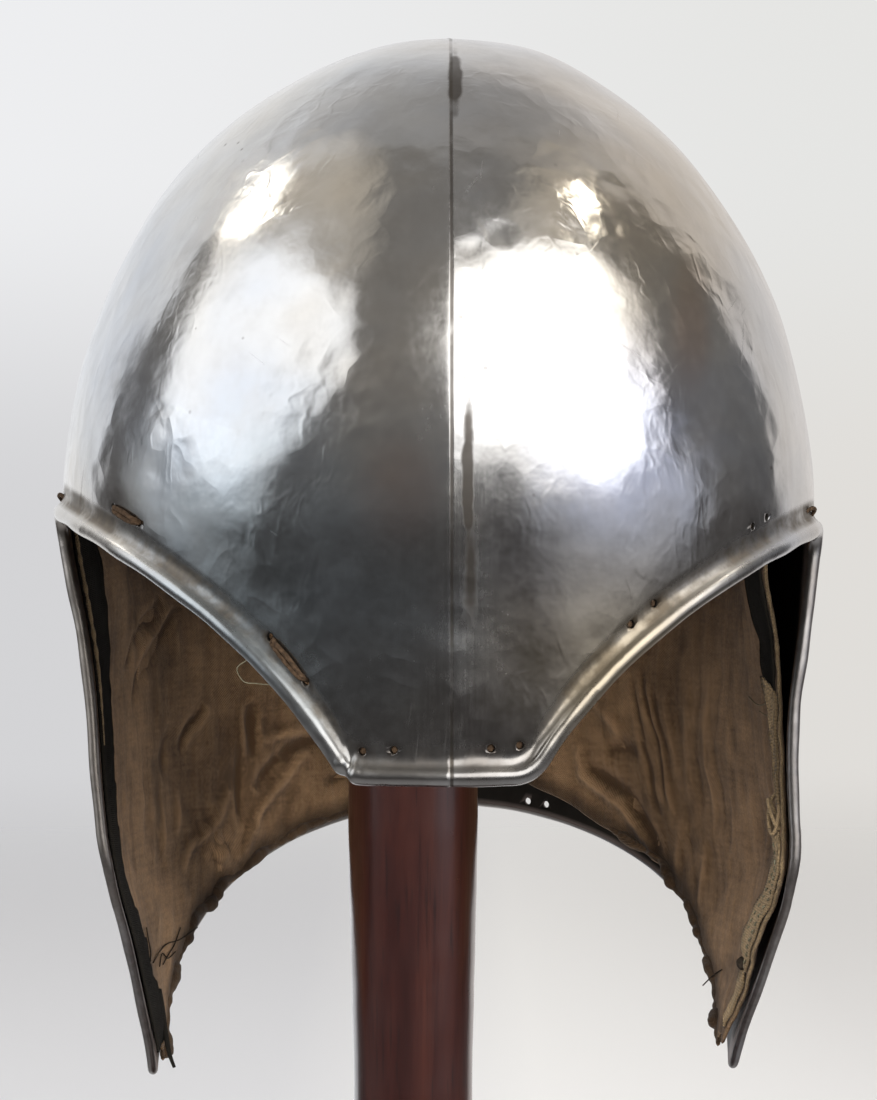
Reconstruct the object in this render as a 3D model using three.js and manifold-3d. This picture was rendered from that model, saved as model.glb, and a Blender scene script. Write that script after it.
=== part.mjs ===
// A steel helmet with a keeled skull, a broad nasal plate and pointed side pieces, lined with
// cloth and resting on a turned wooden post. Millimetres, +Z up, the wearer faces -Y and +X is
// the wearer's left. The origin is the middle of the stand's underside.
import * as THREE from "three";
import Module from "manifold-3d";
import { mergeVertices } from "three/addons/utils/BufferGeometryUtils.js";

const wasm = await Module();
wasm.setup();

// Driving dimensions of the skull, from the point midway between the temples
const SKULL_HEIGHT = 135; // temples to apex
const PLATE = 1.4; // thickness of the steel
const KEEL_SIDE = 2.8; // the keel stands this far to the +X side of the middle
const KEEL_RISE = 4; // height of the keel over the plain oval, at the brow
const KEEL_RISE_TOP = 1; // the same at the apex
const KEEL_SPREAD = 60; // the keel fades into the flank over this distance

// At each level: half width, how far the sides lean to +X, depth to the front and to the back
const PROFILE = [
  { level: 0, halfWidth: 106, lean: 0, front: 122, back: 129 },
  { level: -33, halfWidth: 101.4, lean: 1.6, front: 121.6, back: 127.6 },
  { level: -50, halfWidth: 99.2, lean: 1.1, front: 120.8, back: 125.2 },
  { level: -72, halfWidth: 99, lean: 1.5, front: 119.3, back: 122.3 },
  { level: -97, halfWidth: 99.4, lean: 3.9, front: 118.5, back: 121.6 },
  { level: -113, halfWidth: 92.9, lean: 3.8, front: 118.2, back: 120.8 },
  { level: -141, halfWidth: 85.3, lean: 2, front: 117.4, back: 119 },
  { level: -155, halfWidth: 82.2, lean: 1, front: 117, back: 118 },
];
const PROFILE_ROUNDING = 10; // the straight runs between levels blend over this much each way

// The wall is drawn on a flat chart: girth runs round the helmet from the front keel, rise runs
// up the wall and is the height itself below the temples.
const HALF_GIRTH = 368; // front keel to back keel, round the temples
const APEX_RISE = (SKULL_HEIGHT * Math.PI) / 2;
const RING_RISE = 30; // the columns of the wall spread out below this ring

// Corners of the rim on the chart, and the control points of its two curved stretches
const NASAL = { girth: 27, rise: -62.5, round: 6 };
const BROW_CONTROL = { girth: 50, rise: -34 };
const TEMPLE_CONTROL = { girth: 88, rise: -2 };
const TEMPLE = { girth: 172, round: 9 };
const KINK = { girth: 151, round: 6 };
const TIP = { girth: 187, round: 4 };
const TIP_CONTROL = { girth: 235, rise: -130 };
const NAPE_CONTROL = { girth: 300, rise: -90.5 };
const NAPE = { girth: HALF_GIRTH, rise: -90.5 };

// The two sides were hammered by hand and differ a little; clothBack is how much further back
// the lining stops at the temple
const SIDES = [
  { name: "right", sign: -1, templeRise: 3.2, kinkRise: -95.5, tipRise: -158.2, clothBack: 4 },
  { name: "left", sign: 1, templeRise: -1.5, kinkRise: -98.5, tipRise: -156.4, clothBack: 8 },
];

// Stretches of the rim in order from the front keel to the back one, each with its longest
// step, and at its start and end: the radius of the rolled edge, how far behind the rim its
// columns leave the ring, how far inside the rim the lining stops, and its share of clothBack
const STRETCHES = [
  { name: "nasal", step: 12, bead: [2.4, 2.4], fan: [0, 0], inset: [9, 9], back: [0, 0] },
  { name: "nasal_corner", step: 4, bead: [2.4, 2.4], fan: [0, 0], inset: [9, 9], back: [0, 0] },
  { name: "eye", step: 14, bead: [2.4, 2.3], fan: [0, 6], inset: [9, 12], back: [0, 1] },
  { name: "temple", step: 5, bead: [2.3, 1.9], fan: [6, 20], inset: [12, 9], back: [1, 1] },
  { name: "front_edge", step: 16, bead: [1.9, 1.6], fan: [20, 56], inset: [9, 5], back: [1, 0] },
  { name: "kink", step: 5, bead: [1.6, 1.4], fan: [56, 60], inset: [5, 5], back: [0, 0] },
  { name: "lower_edge", step: 16, bead: [1.4, 1.3], fan: [60, 48], inset: [5, 7], back: [0, 0] },
  { name: "tip", step: 3, bead: [1.3, 1.3], fan: [48, 46], inset: [8, 8], back: [0, 0] },
  { name: "rear_edge", step: 16, bead: [1.4, 1.6], fan: [46, 0], inset: [5, 5], back: [0, 0] },
];
// Width of the lining's dark border at the start and end of each stretch it runs along
const BORDER_WIDTHS = { temple: [13, 13], front_edge: [13, 10], kink: [10, 9], lower_edge: [9, 0] };
// How far from the rim a column starts to turn square to it: less near a corner of the plate
const BEND_LONGEST = 26;
const BEND_SHORTEST = 2;
const BEND_SHARE = 0.35;
const PLUMB_SHARE = 0.4; // and how much of its drop it spends leaving the ring straight down

// Rows of the wall from apex to ring and from ring to rim, and steps round the rolled edge
const DOME_ROWS = 6;
const WALL_ROWS = 6;
const BEAD_STEPS = 5;
const BEAD_MARGIN = 6; // last row of the wall before the rolled edge

// Lining
const CLOTH = 1.2; // thickness
const CLOTH_GAP = 1.4; // clearance to the steel
// Where it hangs off the steel: at the temple, on each side by its own amount, and over the tip
const SAGS = [
  { girth: 170, rise: -8, reach: 48, right: 3, left: 11 },
  { girth: 190, rise: -142, reach: 45, right: 1.6, left: 1.6 },
];
const BORDER_THICKNESS = 0.8;
const BORDER_INSET = 0.5; // its edge behind the lining's
const BORDER_GAP = 1.2; // clearance to the lining
const SEAT_GAP = 0.3; // between pieces that rest on each other

// Folds of the lining: each runs from one chart point to another, stands in by its height and
// fades out over its width. Girth is negative on the wearer's right.
const FOLDS = [
  { from: [-205, -62], to: [-248, -22], height: 3, width: 7 },
  { from: [-222, -70], to: [-262, -30], height: 2.4, width: 6 },
  { from: [-233, -128], to: [-240, -50], height: 1.6, width: 6 },
  { from: [-270, -106], to: [-290, -66], height: 3, width: 6 },
  { from: [-275, -108], to: [-325, -80], height: 3.2, width: 6 },
  { from: [-300, -62], to: [-345, -66], height: 2.4, width: 7 },
  { from: [277, -104], to: [318, -64], height: 3, width: 7 },
  { from: [262, -112], to: [272, -40], height: 2, width: 5 },
  { from: [248, -120], to: [252, -40], height: 1.6, width: 5 },
  { from: [300, -98], to: [345, -72], height: 2.6, width: 7 },
];

// Lacing holes through the rim, in pairs, on the chart
const LACE_HOLE_RADIUS = 1.1;
const LACE_HOLE_SIDES = 6;
const LACE_DRILL_LENGTH = 8;
const LACE_HOLES = [
  { girth: -25.8, rise: -56.2 },
  { girth: -16.2, rise: -55.7 },
  { girth: 12.5, rise: -55.2 },
  { girth: 21.4, rise: -54.6 },
  { girth: 57, rise: -24 },
  { girth: 65, rise: -18.8 },
  { girth: 106, rise: 0.5 },
  { girth: 114, rise: 2.7 },
  { girth: -114.5, rise: 5.5 },
  { girth: -101.4, rise: 1.5 },
  { girth: -54.4, rise: -27.3 },
  { girth: -43.3, rise: -38.5 },
  { girth: 337, rise: -86 },
  { girth: 329, rise: -86.8 },
  { girth: -337, rise: -86 },
  { girth: -329, rise: -86.8 },
];

// Stand
const BASE_RADIUS = 88;
const BASE_HEIGHT = 22;
const BASE_EDGE = 5; // rounding of its upper edge
const POST_SIDES = 28;
const POST_FOOT_RADIUS = 16.8;
const POST_NECK_RADIUS = 18.3; // where it goes into the helmet
const POST_HEAD_RADIUS = 19;
const TIP_CLEARANCE = 72; // side piece tips over the base
const HELMET_SIDE = 7.2; // the helmet sits this far to the +X side of the post
const TEMPLE_HEIGHT = BASE_HEIGHT + TIP_CLEARANCE - Math.min(...SIDES.map((s) => s.tipRise));

const MATERIALS = {
  steel: { color: 0xa6a8ab, roughness: 0.22, metalness: 1 },
  cloth: { color: 0x6b5638, roughness: 0.95, metalness: 0 },
  border: { color: 0x1f1d1b, roughness: 0.9, metalness: 0 },
  wood: { color: 0x3a1613, roughness: 0.35, metalness: 0 },
};

const { lerp, clamp } = THREE.MathUtils;

// The skull's surface

function profileRun(column, z) {
  if (z >= PROFILE[0].level) return PROFILE[0][column];
  const below = PROFILE.findIndex((row) => row.level <= z);
  const i = below < 0 ? PROFILE.length - 1 : below;
  const [upper, lower] = [PROFILE[i - 1], PROFILE[i]];
  const share = clamp((upper.level - z) / (upper.level - lower.level), 0, 1);
  return lerp(upper[column], lower[column], share);
}

function profileAt(column, z) {
  const shifts = [-1, -0.5, 0, 0.5, 1];
  const sum = shifts.reduce((total, k) => total + profileRun(column, z + k * PROFILE_ROUNDING), 0);
  return sum / shifts.length;
}

function skullPoint(girth, rise) {
  const turn = (girth / HALF_GIRTH) * Math.PI;
  const climb = Math.max(rise, 0) / SKULL_HEIGHT;
  const z = rise > 0 ? SKULL_HEIGHT * Math.sin(climb) : rise;
  const shrink = Math.cos(climb);
  const halfWidth = profileAt("halfWidth", z);
  const depth = profileAt(Math.cos(turn) > 0 ? "front" : "back", z);
  const across = (halfWidth - Math.sign(turn) * KEEL_SIDE) * shrink * Math.sin(turn);
  const along = -depth * shrink * Math.cos(turn);
  const crest = lerp(KEEL_RISE, KEEL_RISE_TOP, Math.max(z, 0) / SKULL_HEIGHT);
  const keel = crest * Math.max(0, 1 - Math.abs(across) / KEEL_SPREAD) ** 2;
  const up = Math.max(z, 0) / SKULL_HEIGHT ** 2;
  const outward = new THREE.Vector3(across / halfWidth ** 2, along / depth ** 2, up).normalize();
  const lean = profileAt("lean", z) * Math.abs(Math.sin(turn));
  return new THREE.Vector3(KEEL_SIDE + lean + across, along, z).addScaledVector(outward, keel);
}

function skullNormal(girth, rise) {
  const nudge = 0.5;
  if (rise > APEX_RISE - nudge) return new THREE.Vector3(0, 0, 1);
  const round = skullPoint(girth + nudge, rise).sub(skullPoint(girth - nudge, rise));
  const upward = skullPoint(girth, rise + nudge).sub(skullPoint(girth, rise - nudge));
  return round.cross(upward).normalize();
}

// A point inside the wall, the given depth below its outer face
function wallPoint(place, depth) {
  return skullPoint(place.x, place.y).addScaledVector(skullNormal(place.x, place.y), -depth);
}

// The rim on the chart

function rimPath(side) {
  const at = ({ girth }, rise) =>
    new THREE.Vector2(girth + side.sign * -KEEL_SIDE * Math.cos((girth / HALF_GIRTH) * Math.PI), rise);
  const towards = (from, to, distance) => to.clone().sub(from).setLength(distance).add(from);
  const nasal = at(NASAL, NASAL.rise);
  const brow = at(BROW_CONTROL, BROW_CONTROL.rise);
  const templeControl = at(TEMPLE_CONTROL, TEMPLE_CONTROL.rise + side.templeRise / 2);
  const temple = at(TEMPLE, side.templeRise);
  const kink = at(KINK, side.kinkRise);
  const tip = at(TIP, side.tipRise);
  const tipControl = at(TIP_CONTROL, TIP_CONTROL.rise);
  const path = new THREE.Path();
  const lineTo = (p) => path.lineTo(p.x, p.y);
  const roundTo = (corner, p) => path.quadraticCurveTo(corner.x, corner.y, p.x, p.y);
  path.moveTo(0, NASAL.rise);
  lineTo(towards(nasal, new THREE.Vector2(0, NASAL.rise), NASAL.round));
  roundTo(nasal, towards(nasal, brow, NASAL.round));
  const templeStart = towards(temple, templeControl, TEMPLE.round);
  path.bezierCurveTo(brow.x, brow.y, templeControl.x, templeControl.y, templeStart.x, templeStart.y);
  roundTo(temple, towards(temple, kink, TEMPLE.round));
  lineTo(towards(kink, temple, KINK.round));
  roundTo(kink, towards(kink, tip, KINK.round));
  lineTo(towards(tip, kink, TIP.round));
  roundTo(tip, towards(tip, tipControl, TIP.round));
  path.bezierCurveTo(
    tipControl.x, tipControl.y, NAPE_CONTROL.girth, NAPE_CONTROL.rise, NAPE.girth, NAPE.rise,
  );
  return { path, corners: [nasal, kink, tip] };
}

// Columns of the wall on one side: each drops from the ring and meets the rim squarely
function sideColumns(side) {
  const { path, corners } = rimPath(side);
  const columns = [];
  path.curves.forEach((curve, i) => {
    const stretch = STRETCHES[i];
    const steps = Math.max(2, Math.ceil(curve.getLength() / stretch.step));
    const from = i === 0 ? 0 : 1;
    for (let k = from; k <= steps; k++) {
      const share = k / steps;
      const end = curve.getPointAt(share);
      const heading = curve.getTangentAt(share);
      const outward = new THREE.Vector2(heading.y, -heading.x);
      const top = new THREE.Vector2(Math.min(end.x + lerp(...stretch.fan, share), HALF_GIRTH), RING_RISE);
      const drop = top.distanceTo(end);
      const room = Math.min(...corners.map((corner) => end.distanceTo(corner)));
      const bend = Math.min(BEND_LONGEST, BEND_SHORTEST + BEND_SHARE * room, BEND_SHARE * drop);
      const leaving = new THREE.Vector2(top.x, top.y - PLUMB_SHARE * drop);
      const arriving = end.clone().addScaledVector(outward, -bend);
      const line = new THREE.CubicBezierCurve(top, leaving, arriving, end);
      columns.push({
        stretch: stretch.name,
        sign: side.sign,
        line,
        outward,
        bead: lerp(...stretch.bead, share),
        inset: lerp(...stretch.inset, share) + side.clothBack * lerp(...stretch.back, share),
        border: lerp(...(BORDER_WIDTHS[stretch.name] || [0, 0]), share),
      });
    }
  });
  return columns;
}

// The chart point of a column at a distance from the rim; a column of the wearer's right is mirrored
function columnPoint(column, distance) {
  const share = clamp(1 - distance / column.line.getLength(), 0, 1);
  const p = column.line.getPointAt(share);
  return new THREE.Vector2(p.x * column.sign, p.y);
}

// Chart points of a column from under the apex down to a distance from the rim
function columnRun(column, distance) {
  const run = [];
  const top = columnPoint(column, Infinity);
  for (let row = 1; row < DOME_ROWS; row++) {
    run.push(new THREE.Vector2(top.x, lerp(APEX_RISE, RING_RISE, row / DOME_ROWS)));
  }
  const length = column.line.getLength();
  for (let row = 0; row <= WALL_ROWS; row++) {
    run.push(columnPoint(column, lerp(length, distance, row / WALL_ROWS)));
  }
  return run;
}

const [rightColumns, leftColumns] = SIDES.map(sideColumns);
// All columns in order round the helmet; the two sides share the front and the back keel
const columns = [...leftColumns, ...rightColumns.slice(1, -1).reverse()];

// Meshes

function closedGeometry(points, triangles) {
  const geometry = new THREE.BufferGeometry();
  geometry.setAttribute("position", new THREE.Float32BufferAttribute(points.flatMap((p) => p.toArray()), 3));
  geometry.setIndex(triangles);
  geometry.computeVertexNormals();
  return geometry;
}

// A bowl from profiles that each run from the outer apex round the rim to the inner apex
function bowlGeometry(outerApex, profiles, innerApex) {
  const rows = profiles[0].length;
  const points = [outerApex, ...profiles.flat(), innerApex];
  const triangles = [];
  profiles.forEach((_, c) => {
    const here = 1 + c * rows;
    const next = 1 + ((c + 1) % profiles.length) * rows;
    triangles.push(0, here, next, points.length - 1, next + rows - 1, here + rows - 1);
    for (let row = 0; row < rows - 1; row++) {
      triangles.push(here + row, here + row + 1, next + row + 1, here + row, next + row + 1, next + row);
    }
  });
  return closedGeometry(points, triangles);
}

// A bar through closed rings of points, with flat ends
function barGeometry(rings) {
  const sides = rings[0].length;
  const triangles = [];
  for (let i = 0; i < rings.length - 1; i++) {
    for (let k = 0; k < sides; k++) {
      const [a, b] = [i * sides + k, i * sides + ((k + 1) % sides)];
      triangles.push(a, b, b + sides, a, b + sides, a + sides);
    }
  }
  const last = (rings.length - 1) * sides;
  for (let k = 1; k < sides - 1; k++) {
    triangles.push(0, k + 1, k, last, last + k, last + k + 1);
  }
  return closedGeometry(rings.flat(), triangles);
}

function solidOf(geometry) {
  const bare = geometry.clone().deleteAttribute("normal").deleteAttribute("uv");
  const merged = mergeVertices(bare);
  return new wasm.Manifold(
    new wasm.Mesh({
      numProp: 3,
      vertProperties: merged.getAttribute("position").array,
      triVerts: new Uint32Array(merged.index.array),
    }),
  );
}

function geometryOf(solid) {
  const mesh = solid.getMesh();
  const geometry = new THREE.BufferGeometry();
  geometry.setAttribute("position", new THREE.BufferAttribute(mesh.vertProperties, mesh.numProp));
  geometry.setIndex(new THREE.BufferAttribute(mesh.triVerts, 1));
  geometry.computeVertexNormals();
  return geometry;
}

function piece(name, geometry, material) {
  const mesh = new THREE.Mesh(geometry, new THREE.MeshStandardMaterial(MATERIALS[material]));
  mesh.name = name;
  return mesh;
}

// Steel shell: skull, nasal plate and side pieces in one plate, its edge rolled outward

function rolledEdge(column) {
  const end = columnPoint(column, 0);
  const middle = skullPoint(end.x, end.y);
  const normal = skullNormal(end.x, end.y);
  const beyond = skullPoint(end.x + column.outward.x * column.sign, end.y + column.outward.y);
  const outward = beyond.sub(middle).normalize();
  const centre = column.bead - PLATE;
  const start = Math.PI + Math.asin(centre / column.bead);
  const points = [];
  for (let k = 0; k <= BEAD_STEPS; k++) {
    const angle = lerp(start, -Math.PI / 2, k / BEAD_STEPS);
    points.push(
      middle.clone()
        .addScaledVector(outward, column.bead * Math.cos(angle))
        .addScaledVector(normal, centre + column.bead * Math.sin(angle)),
    );
  }
  return points;
}

function laceHole({ girth, rise }) {
  const normal = skullNormal(girth, rise);
  const radius = LACE_HOLE_RADIUS;
  const drill = new THREE.CylinderGeometry(radius, radius, LACE_DRILL_LENGTH, LACE_HOLE_SIDES);
  drill.applyQuaternion(new THREE.Quaternion().setFromUnitVectors(new THREE.Vector3(0, 1, 0), normal));
  drill.translate(...skullPoint(girth, rise).toArray());
  return solidOf(drill);
}

function makeShell() {
  const profiles = columns.map((column) => {
    const run = columnRun(column, BEAD_MARGIN);
    const outer = run.map((place) => wallPoint(place, 0));
    const inner = run.map((place) => wallPoint(place, PLATE)).reverse();
    return [...outer, ...rolledEdge(column), ...inner];
  });
  const apex = new THREE.Vector2(0, APEX_RISE);
  const plain = solidOf(bowlGeometry(wallPoint(apex, 0), profiles, wallPoint(apex, PLATE)));
  const drilled = LACE_HOLES.reduce((solid, hole) => solid.subtract(laceHole(hole)), plain);
  return piece("helmet_shell", geometryOf(drilled), "steel");
}

// Cloth lining

function foldDepth(place) {
  return FOLDS.reduce((deepest, { from, to, height, width }) => {
    const line = new THREE.Line3(new THREE.Vector3(...from, 0), new THREE.Vector3(...to, 0));
    const spot = new THREE.Vector3(place.x, place.y, 0);
    const nearest = line.closestPointToPoint(spot, true, new THREE.Vector3());
    return Math.max(deepest, height * Math.exp(-((spot.distanceTo(nearest) / width) ** 2)));
  }, 0);
}

function sagDepth(place) {
  return SAGS.reduce((depth, { girth, rise, reach, right, left }) => {
    const away = Math.hypot(Math.abs(place.x) - girth, place.y - rise);
    return depth + (place.x > 0 ? left : right) * Math.exp(-((away / reach) ** 2));
  }, 0);
}

function clothDepth(place) {
  return PLATE + CLOTH_GAP + foldDepth(place) + sagDepth(place);
}

function makeLining() {
  const profiles = columns.map((column) => {
    const run = columnRun(column, column.inset);
    const outer = run.map((place) => wallPoint(place, clothDepth(place)));
    const inner = run.map((place) => wallPoint(place, clothDepth(place) + CLOTH)).reverse();
    return [...outer, ...inner];
  });
  const apex = new THREE.Vector2(0, APEX_RISE);
  const outerApex = wallPoint(apex, clothDepth(apex));
  const innerApex = wallPoint(apex, clothDepth(apex) + CLOTH);
  return piece("lining", bowlGeometry(outerApex, profiles, innerApex), "cloth");
}

// Dark border sewn along the lining's front edge, on each side piece
function makeBorder(side, sideOfHelmet) {
  const along = sideOfHelmet.filter((column) => column.border > 0);
  const rings = along.map((column) => {
    const edge = columnPoint(column, column.inset + BORDER_INSET);
    const far = columnPoint(column, column.inset + BORDER_INSET + column.border);
    const face = (place) => clothDepth(place) + CLOTH + BORDER_GAP;
    return [
      wallPoint(edge, face(edge)),
      wallPoint(far, face(far)),
      wallPoint(far, face(far) + BORDER_THICKNESS),
      wallPoint(edge, face(edge) + BORDER_THICKNESS),
    ];
  });
  if (side.sign > 0) rings.reverse();
  return piece(`lining_border_${side.name}`, barGeometry(rings), "border");
}

// Stand

// Height of the post's head over the temples, just clear of the lining above it
function postHeadRise() {
  const searched = 3 * POST_HEAD_RADIUS;
  const [riseStep, girthStep] = [2, 15];
  let lowest = Infinity;
  for (let rise = APEX_RISE; rise > APEX_RISE - searched; rise -= riseStep) {
    for (let girth = -HALF_GIRTH; girth < HALF_GIRTH; girth += girthStep) {
      const place = new THREE.Vector2(girth, rise);
      const cloth = wallPoint(place, clothDepth(place) + CLOTH);
      const away = Math.hypot(cloth.x + HELMET_SIDE, cloth.y);
      if (away < POST_HEAD_RADIUS) {
        const dip = POST_HEAD_RADIUS - Math.sqrt(POST_HEAD_RADIUS ** 2 - away ** 2);
        lowest = Math.min(lowest, cloth.z + dip);
      }
    }
  }
  return lowest;
}

function makePost() {
  const headHeight = TEMPLE_HEIGHT + postHeadRise() - 2 * SEAT_GAP;
  const shoulder = headHeight - POST_HEAD_RADIUS;
  const profile = [
    new THREE.Vector2(0, BASE_HEIGHT),
    new THREE.Vector2(POST_FOOT_RADIUS, BASE_HEIGHT),
    new THREE.Vector2(POST_FOOT_RADIUS, BASE_HEIGHT + TIP_CLEARANCE),
    new THREE.Vector2(POST_NECK_RADIUS, TEMPLE_HEIGHT + NAPE.rise),
    new THREE.Vector2(POST_HEAD_RADIUS, shoulder),
  ];
  const domeSteps = 5;
  for (let k = 1; k <= domeSteps; k++) {
    const angle = ((k / domeSteps) * Math.PI) / 2;
    const radius = k === domeSteps ? 0 : POST_HEAD_RADIUS * Math.cos(angle);
    profile.push(new THREE.Vector2(radius, shoulder + POST_HEAD_RADIUS * Math.sin(angle)));
  }
  const post = new THREE.LatheGeometry(profile, POST_SIDES).rotateX(Math.PI / 2);
  return piece("stand_post", post, "wood");
}

function makeBase() {
  const profile = [
    new THREE.Vector2(0, 0),
    new THREE.Vector2(BASE_RADIUS, 0),
    new THREE.Vector2(BASE_RADIUS, BASE_HEIGHT - BASE_EDGE),
  ];
  const edgeSteps = 3;
  for (let k = 1; k <= edgeSteps; k++) {
    const angle = ((k / edgeSteps) * Math.PI) / 2;
    const radius = BASE_RADIUS - BASE_EDGE * (1 - Math.cos(angle));
    profile.push(new THREE.Vector2(radius, BASE_HEIGHT - BASE_EDGE * (1 - Math.sin(angle))));
  }
  profile.push(new THREE.Vector2(0, BASE_HEIGHT));
  const base = new THREE.LatheGeometry(profile, POST_SIDES).rotateX(Math.PI / 2);
  return piece("stand_base", base, "wood");
}

// The whole, with the helmet hung over the post

const helmet = new THREE.Group();
helmet.position.set(HELMET_SIDE, 0, TEMPLE_HEIGHT);
helmet.add(makeShell(), makeLining());
helmet.add(makeBorder(SIDES[0], rightColumns), makeBorder(SIDES[1], leftColumns));

const helmetOnStand = new THREE.Group();
helmetOnStand.add(helmet, makePost(), makeBase());

export default helmetOnStand;
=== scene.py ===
"""Looks of a keeled steel helmet with a cloth lining, on a turned wooden post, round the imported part."""

import math

import bmesh
import bpy
import numpy as np
from mathutils import Matrix, Vector, kdtree


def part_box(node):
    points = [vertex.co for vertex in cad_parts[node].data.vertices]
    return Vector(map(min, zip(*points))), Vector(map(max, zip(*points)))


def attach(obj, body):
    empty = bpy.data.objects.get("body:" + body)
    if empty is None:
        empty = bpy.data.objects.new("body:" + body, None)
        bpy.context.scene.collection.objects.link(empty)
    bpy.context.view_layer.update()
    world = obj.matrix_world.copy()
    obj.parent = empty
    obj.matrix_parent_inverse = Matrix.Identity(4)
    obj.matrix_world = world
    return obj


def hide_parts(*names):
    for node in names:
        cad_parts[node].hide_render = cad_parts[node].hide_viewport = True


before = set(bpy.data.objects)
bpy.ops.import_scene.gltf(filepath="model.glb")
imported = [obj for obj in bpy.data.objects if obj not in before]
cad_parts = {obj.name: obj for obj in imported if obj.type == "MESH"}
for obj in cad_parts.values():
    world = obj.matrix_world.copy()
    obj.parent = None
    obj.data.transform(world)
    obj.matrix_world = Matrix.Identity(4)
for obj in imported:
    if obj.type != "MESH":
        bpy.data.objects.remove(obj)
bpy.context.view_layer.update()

# The part's own sizes, in mm; the helmet's frame has its origin midway between the temples
PLACE = np.array([7.2, 0.0, 252.2])
SKULL_HEIGHT, PLATE = 135.0, 1.4
KEEL_SIDE, KEEL_RISE, KEEL_RISE_TOP, KEEL_SPREAD, KEEL_ROUND = 2.8, 4.0, 1.0, 60.0, 0.7
PROFILE_ROUNDING = 10.0
LEVEL, HALF_WIDTH, LEAN, FRONT, BACK = range(5)
PROFILE = np.array([
    # level, half width, lean, front, back
    (-155, 82.2, 1.0, 117.0, 118.0),
    (-141, 85.3, 2.0, 117.4, 119.0),
    (-113, 92.9, 3.8, 118.2, 120.8),
    (-97, 99.4, 3.9, 118.5, 121.6),
    (-72, 99.0, 1.5, 119.3, 122.3),
    (-50, 99.2, 1.1, 120.8, 125.2),
    (-33, 101.4, 1.6, 121.6, 127.6),
    (0, 106.0, 0.0, 122.0, 129.0),
])
HALF_GIRTH = 368.0
APEX_RISE = SKULL_HEIGHT * math.pi / 2
RING_RISE = 30.0
NASAL_LEVEL, NAPE_LEVEL = -62.5, -90.5
SIDES = {
    "right": dict(sign=-1, temple=3.2, kink=-95.5, tip=-158.2, cloth_back=4.0),
    "left": dict(sign=1, temple=-1.5, kink=-98.5, tip=-156.4, cloth_back=8.0),
}
# Values at the start and end of each stretch of the rim: radius of the roll, lean of the columns above
# it, the lining's edge from the rim and the share of cloth_back added to that, depth of the cove,
# dullness of the steel
STRETCHES = {
    "nasal": dict(bead=(2.4, 2.4), fan=(0, 0), inset=(9, 9), back=(0, 0), cove=(0, 0), dull=(0, 0)),
    "nasal_corner": dict(bead=(2.4, 2.4), fan=(0, 0), inset=(9, 9), back=(0, 0), cove=(0, 0.5), dull=(0, 0)),
    "eye": dict(bead=(2.4, 2.3), fan=(0, 6), inset=(9, 12), back=(0, 1), cove=(0.8, 1), dull=(0, 0.1)),
    "temple": dict(bead=(2.3, 1.9), fan=(6, 20), inset=(12, 9), back=(1, 1), cove=(1, 0.6), dull=(0.1, 0.6)),
    "front_edge": dict(
        bead=(1.9, 1.6), fan=(20, 56), inset=(9, 5), back=(1, 0), cove=(0.5, 0.1), dull=(0.8, 0.9)),
    "kink": dict(bead=(1.6, 1.4), fan=(56, 60), inset=(5, 5), back=(0, 0), cove=(0, 0), dull=(0.9, 1)),
    "lower_edge": dict(bead=(1.4, 1.3), fan=(60, 48), inset=(5, 7), back=(0, 0), cove=(0, 0), dull=(1, 1)),
    "tip": dict(bead=(1.3, 1.3), fan=(48, 46), inset=(8, 8), back=(0, 0), cove=(0, 0), dull=(1, 1)),
    "rear_edge": dict(
        bead=(1.4, 1.6), fan=(46, 0), inset=(3, 3), back=(0, 0), cove=(0.1, 0.1), dull=(1, 0.7)),
}
RIM_VALUES = list(STRETCHES["nasal"])
CLOTH, CLOTH_GAP, TAPE_THICK = 1.2, 0.6, 0.8
FAR = 200.0


def smooth(x):
    x = np.clip(x, 0, 1)
    return x * x * (3 - 2 * x)


def place(points):
    return (np.asarray(points, float) + PLACE) / 1000


def profile(column, z):
    shifts = (-1, -0.5, 0, 0.5, 1)
    rounded = [np.interp(z + k * PROFILE_ROUNDING, PROFILE[:, LEVEL], PROFILE[:, column]) for k in shifts]
    return sum(rounded) / len(shifts)


def skull(girth, rise):
    """Points of the outer face, from the girth round it from the front keel and the rise from the temples."""
    girth, rise = np.broadcast_arrays(np.asarray(girth, float), np.asarray(rise, float))
    turn = girth / HALF_GIRTH * math.pi
    climb = np.maximum(rise, 0) / SKULL_HEIGHT
    z = np.where(rise > 0, SKULL_HEIGHT * np.sin(climb), rise)
    shrink = np.cos(climb)
    half = profile(HALF_WIDTH, z)
    depth = np.where(np.cos(turn) > 0, profile(FRONT, z), profile(BACK, z))
    across = (half - np.sign(turn) * KEEL_SIDE) * shrink * np.sin(turn)
    along = -depth * shrink * np.cos(turn)
    crest = KEEL_RISE + (KEEL_RISE_TOP - KEEL_RISE) * np.maximum(z, 0) / SKULL_HEIGHT
    rounded = np.sqrt(across ** 2 + KEEL_ROUND ** 2) - KEEL_ROUND
    keel = crest * np.maximum(0, 1 - rounded / KEEL_SPREAD) ** 2
    out = np.stack([across / half ** 2, along / depth ** 2, np.maximum(z, 0) / SKULL_HEIGHT ** 2], -1)
    out /= np.linalg.norm(out, axis=-1, keepdims=True)
    lean = profile(LEAN, z) * np.abs(np.sin(turn))
    return np.stack([KEEL_SIDE + lean + across, along, z], -1) + out * keel[..., None]


def skull_normal(girth, rise):
    nudge = 0.5
    rise = np.minimum(rise, APEX_RISE - 2 * nudge)
    around = skull(girth + nudge, rise) - skull(girth - nudge, rise)
    upward = skull(girth, rise + nudge) - skull(girth, rise - nudge)
    n = np.cross(around, upward)
    return n / np.linalg.norm(n, axis=-1, keepdims=True)


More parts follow.
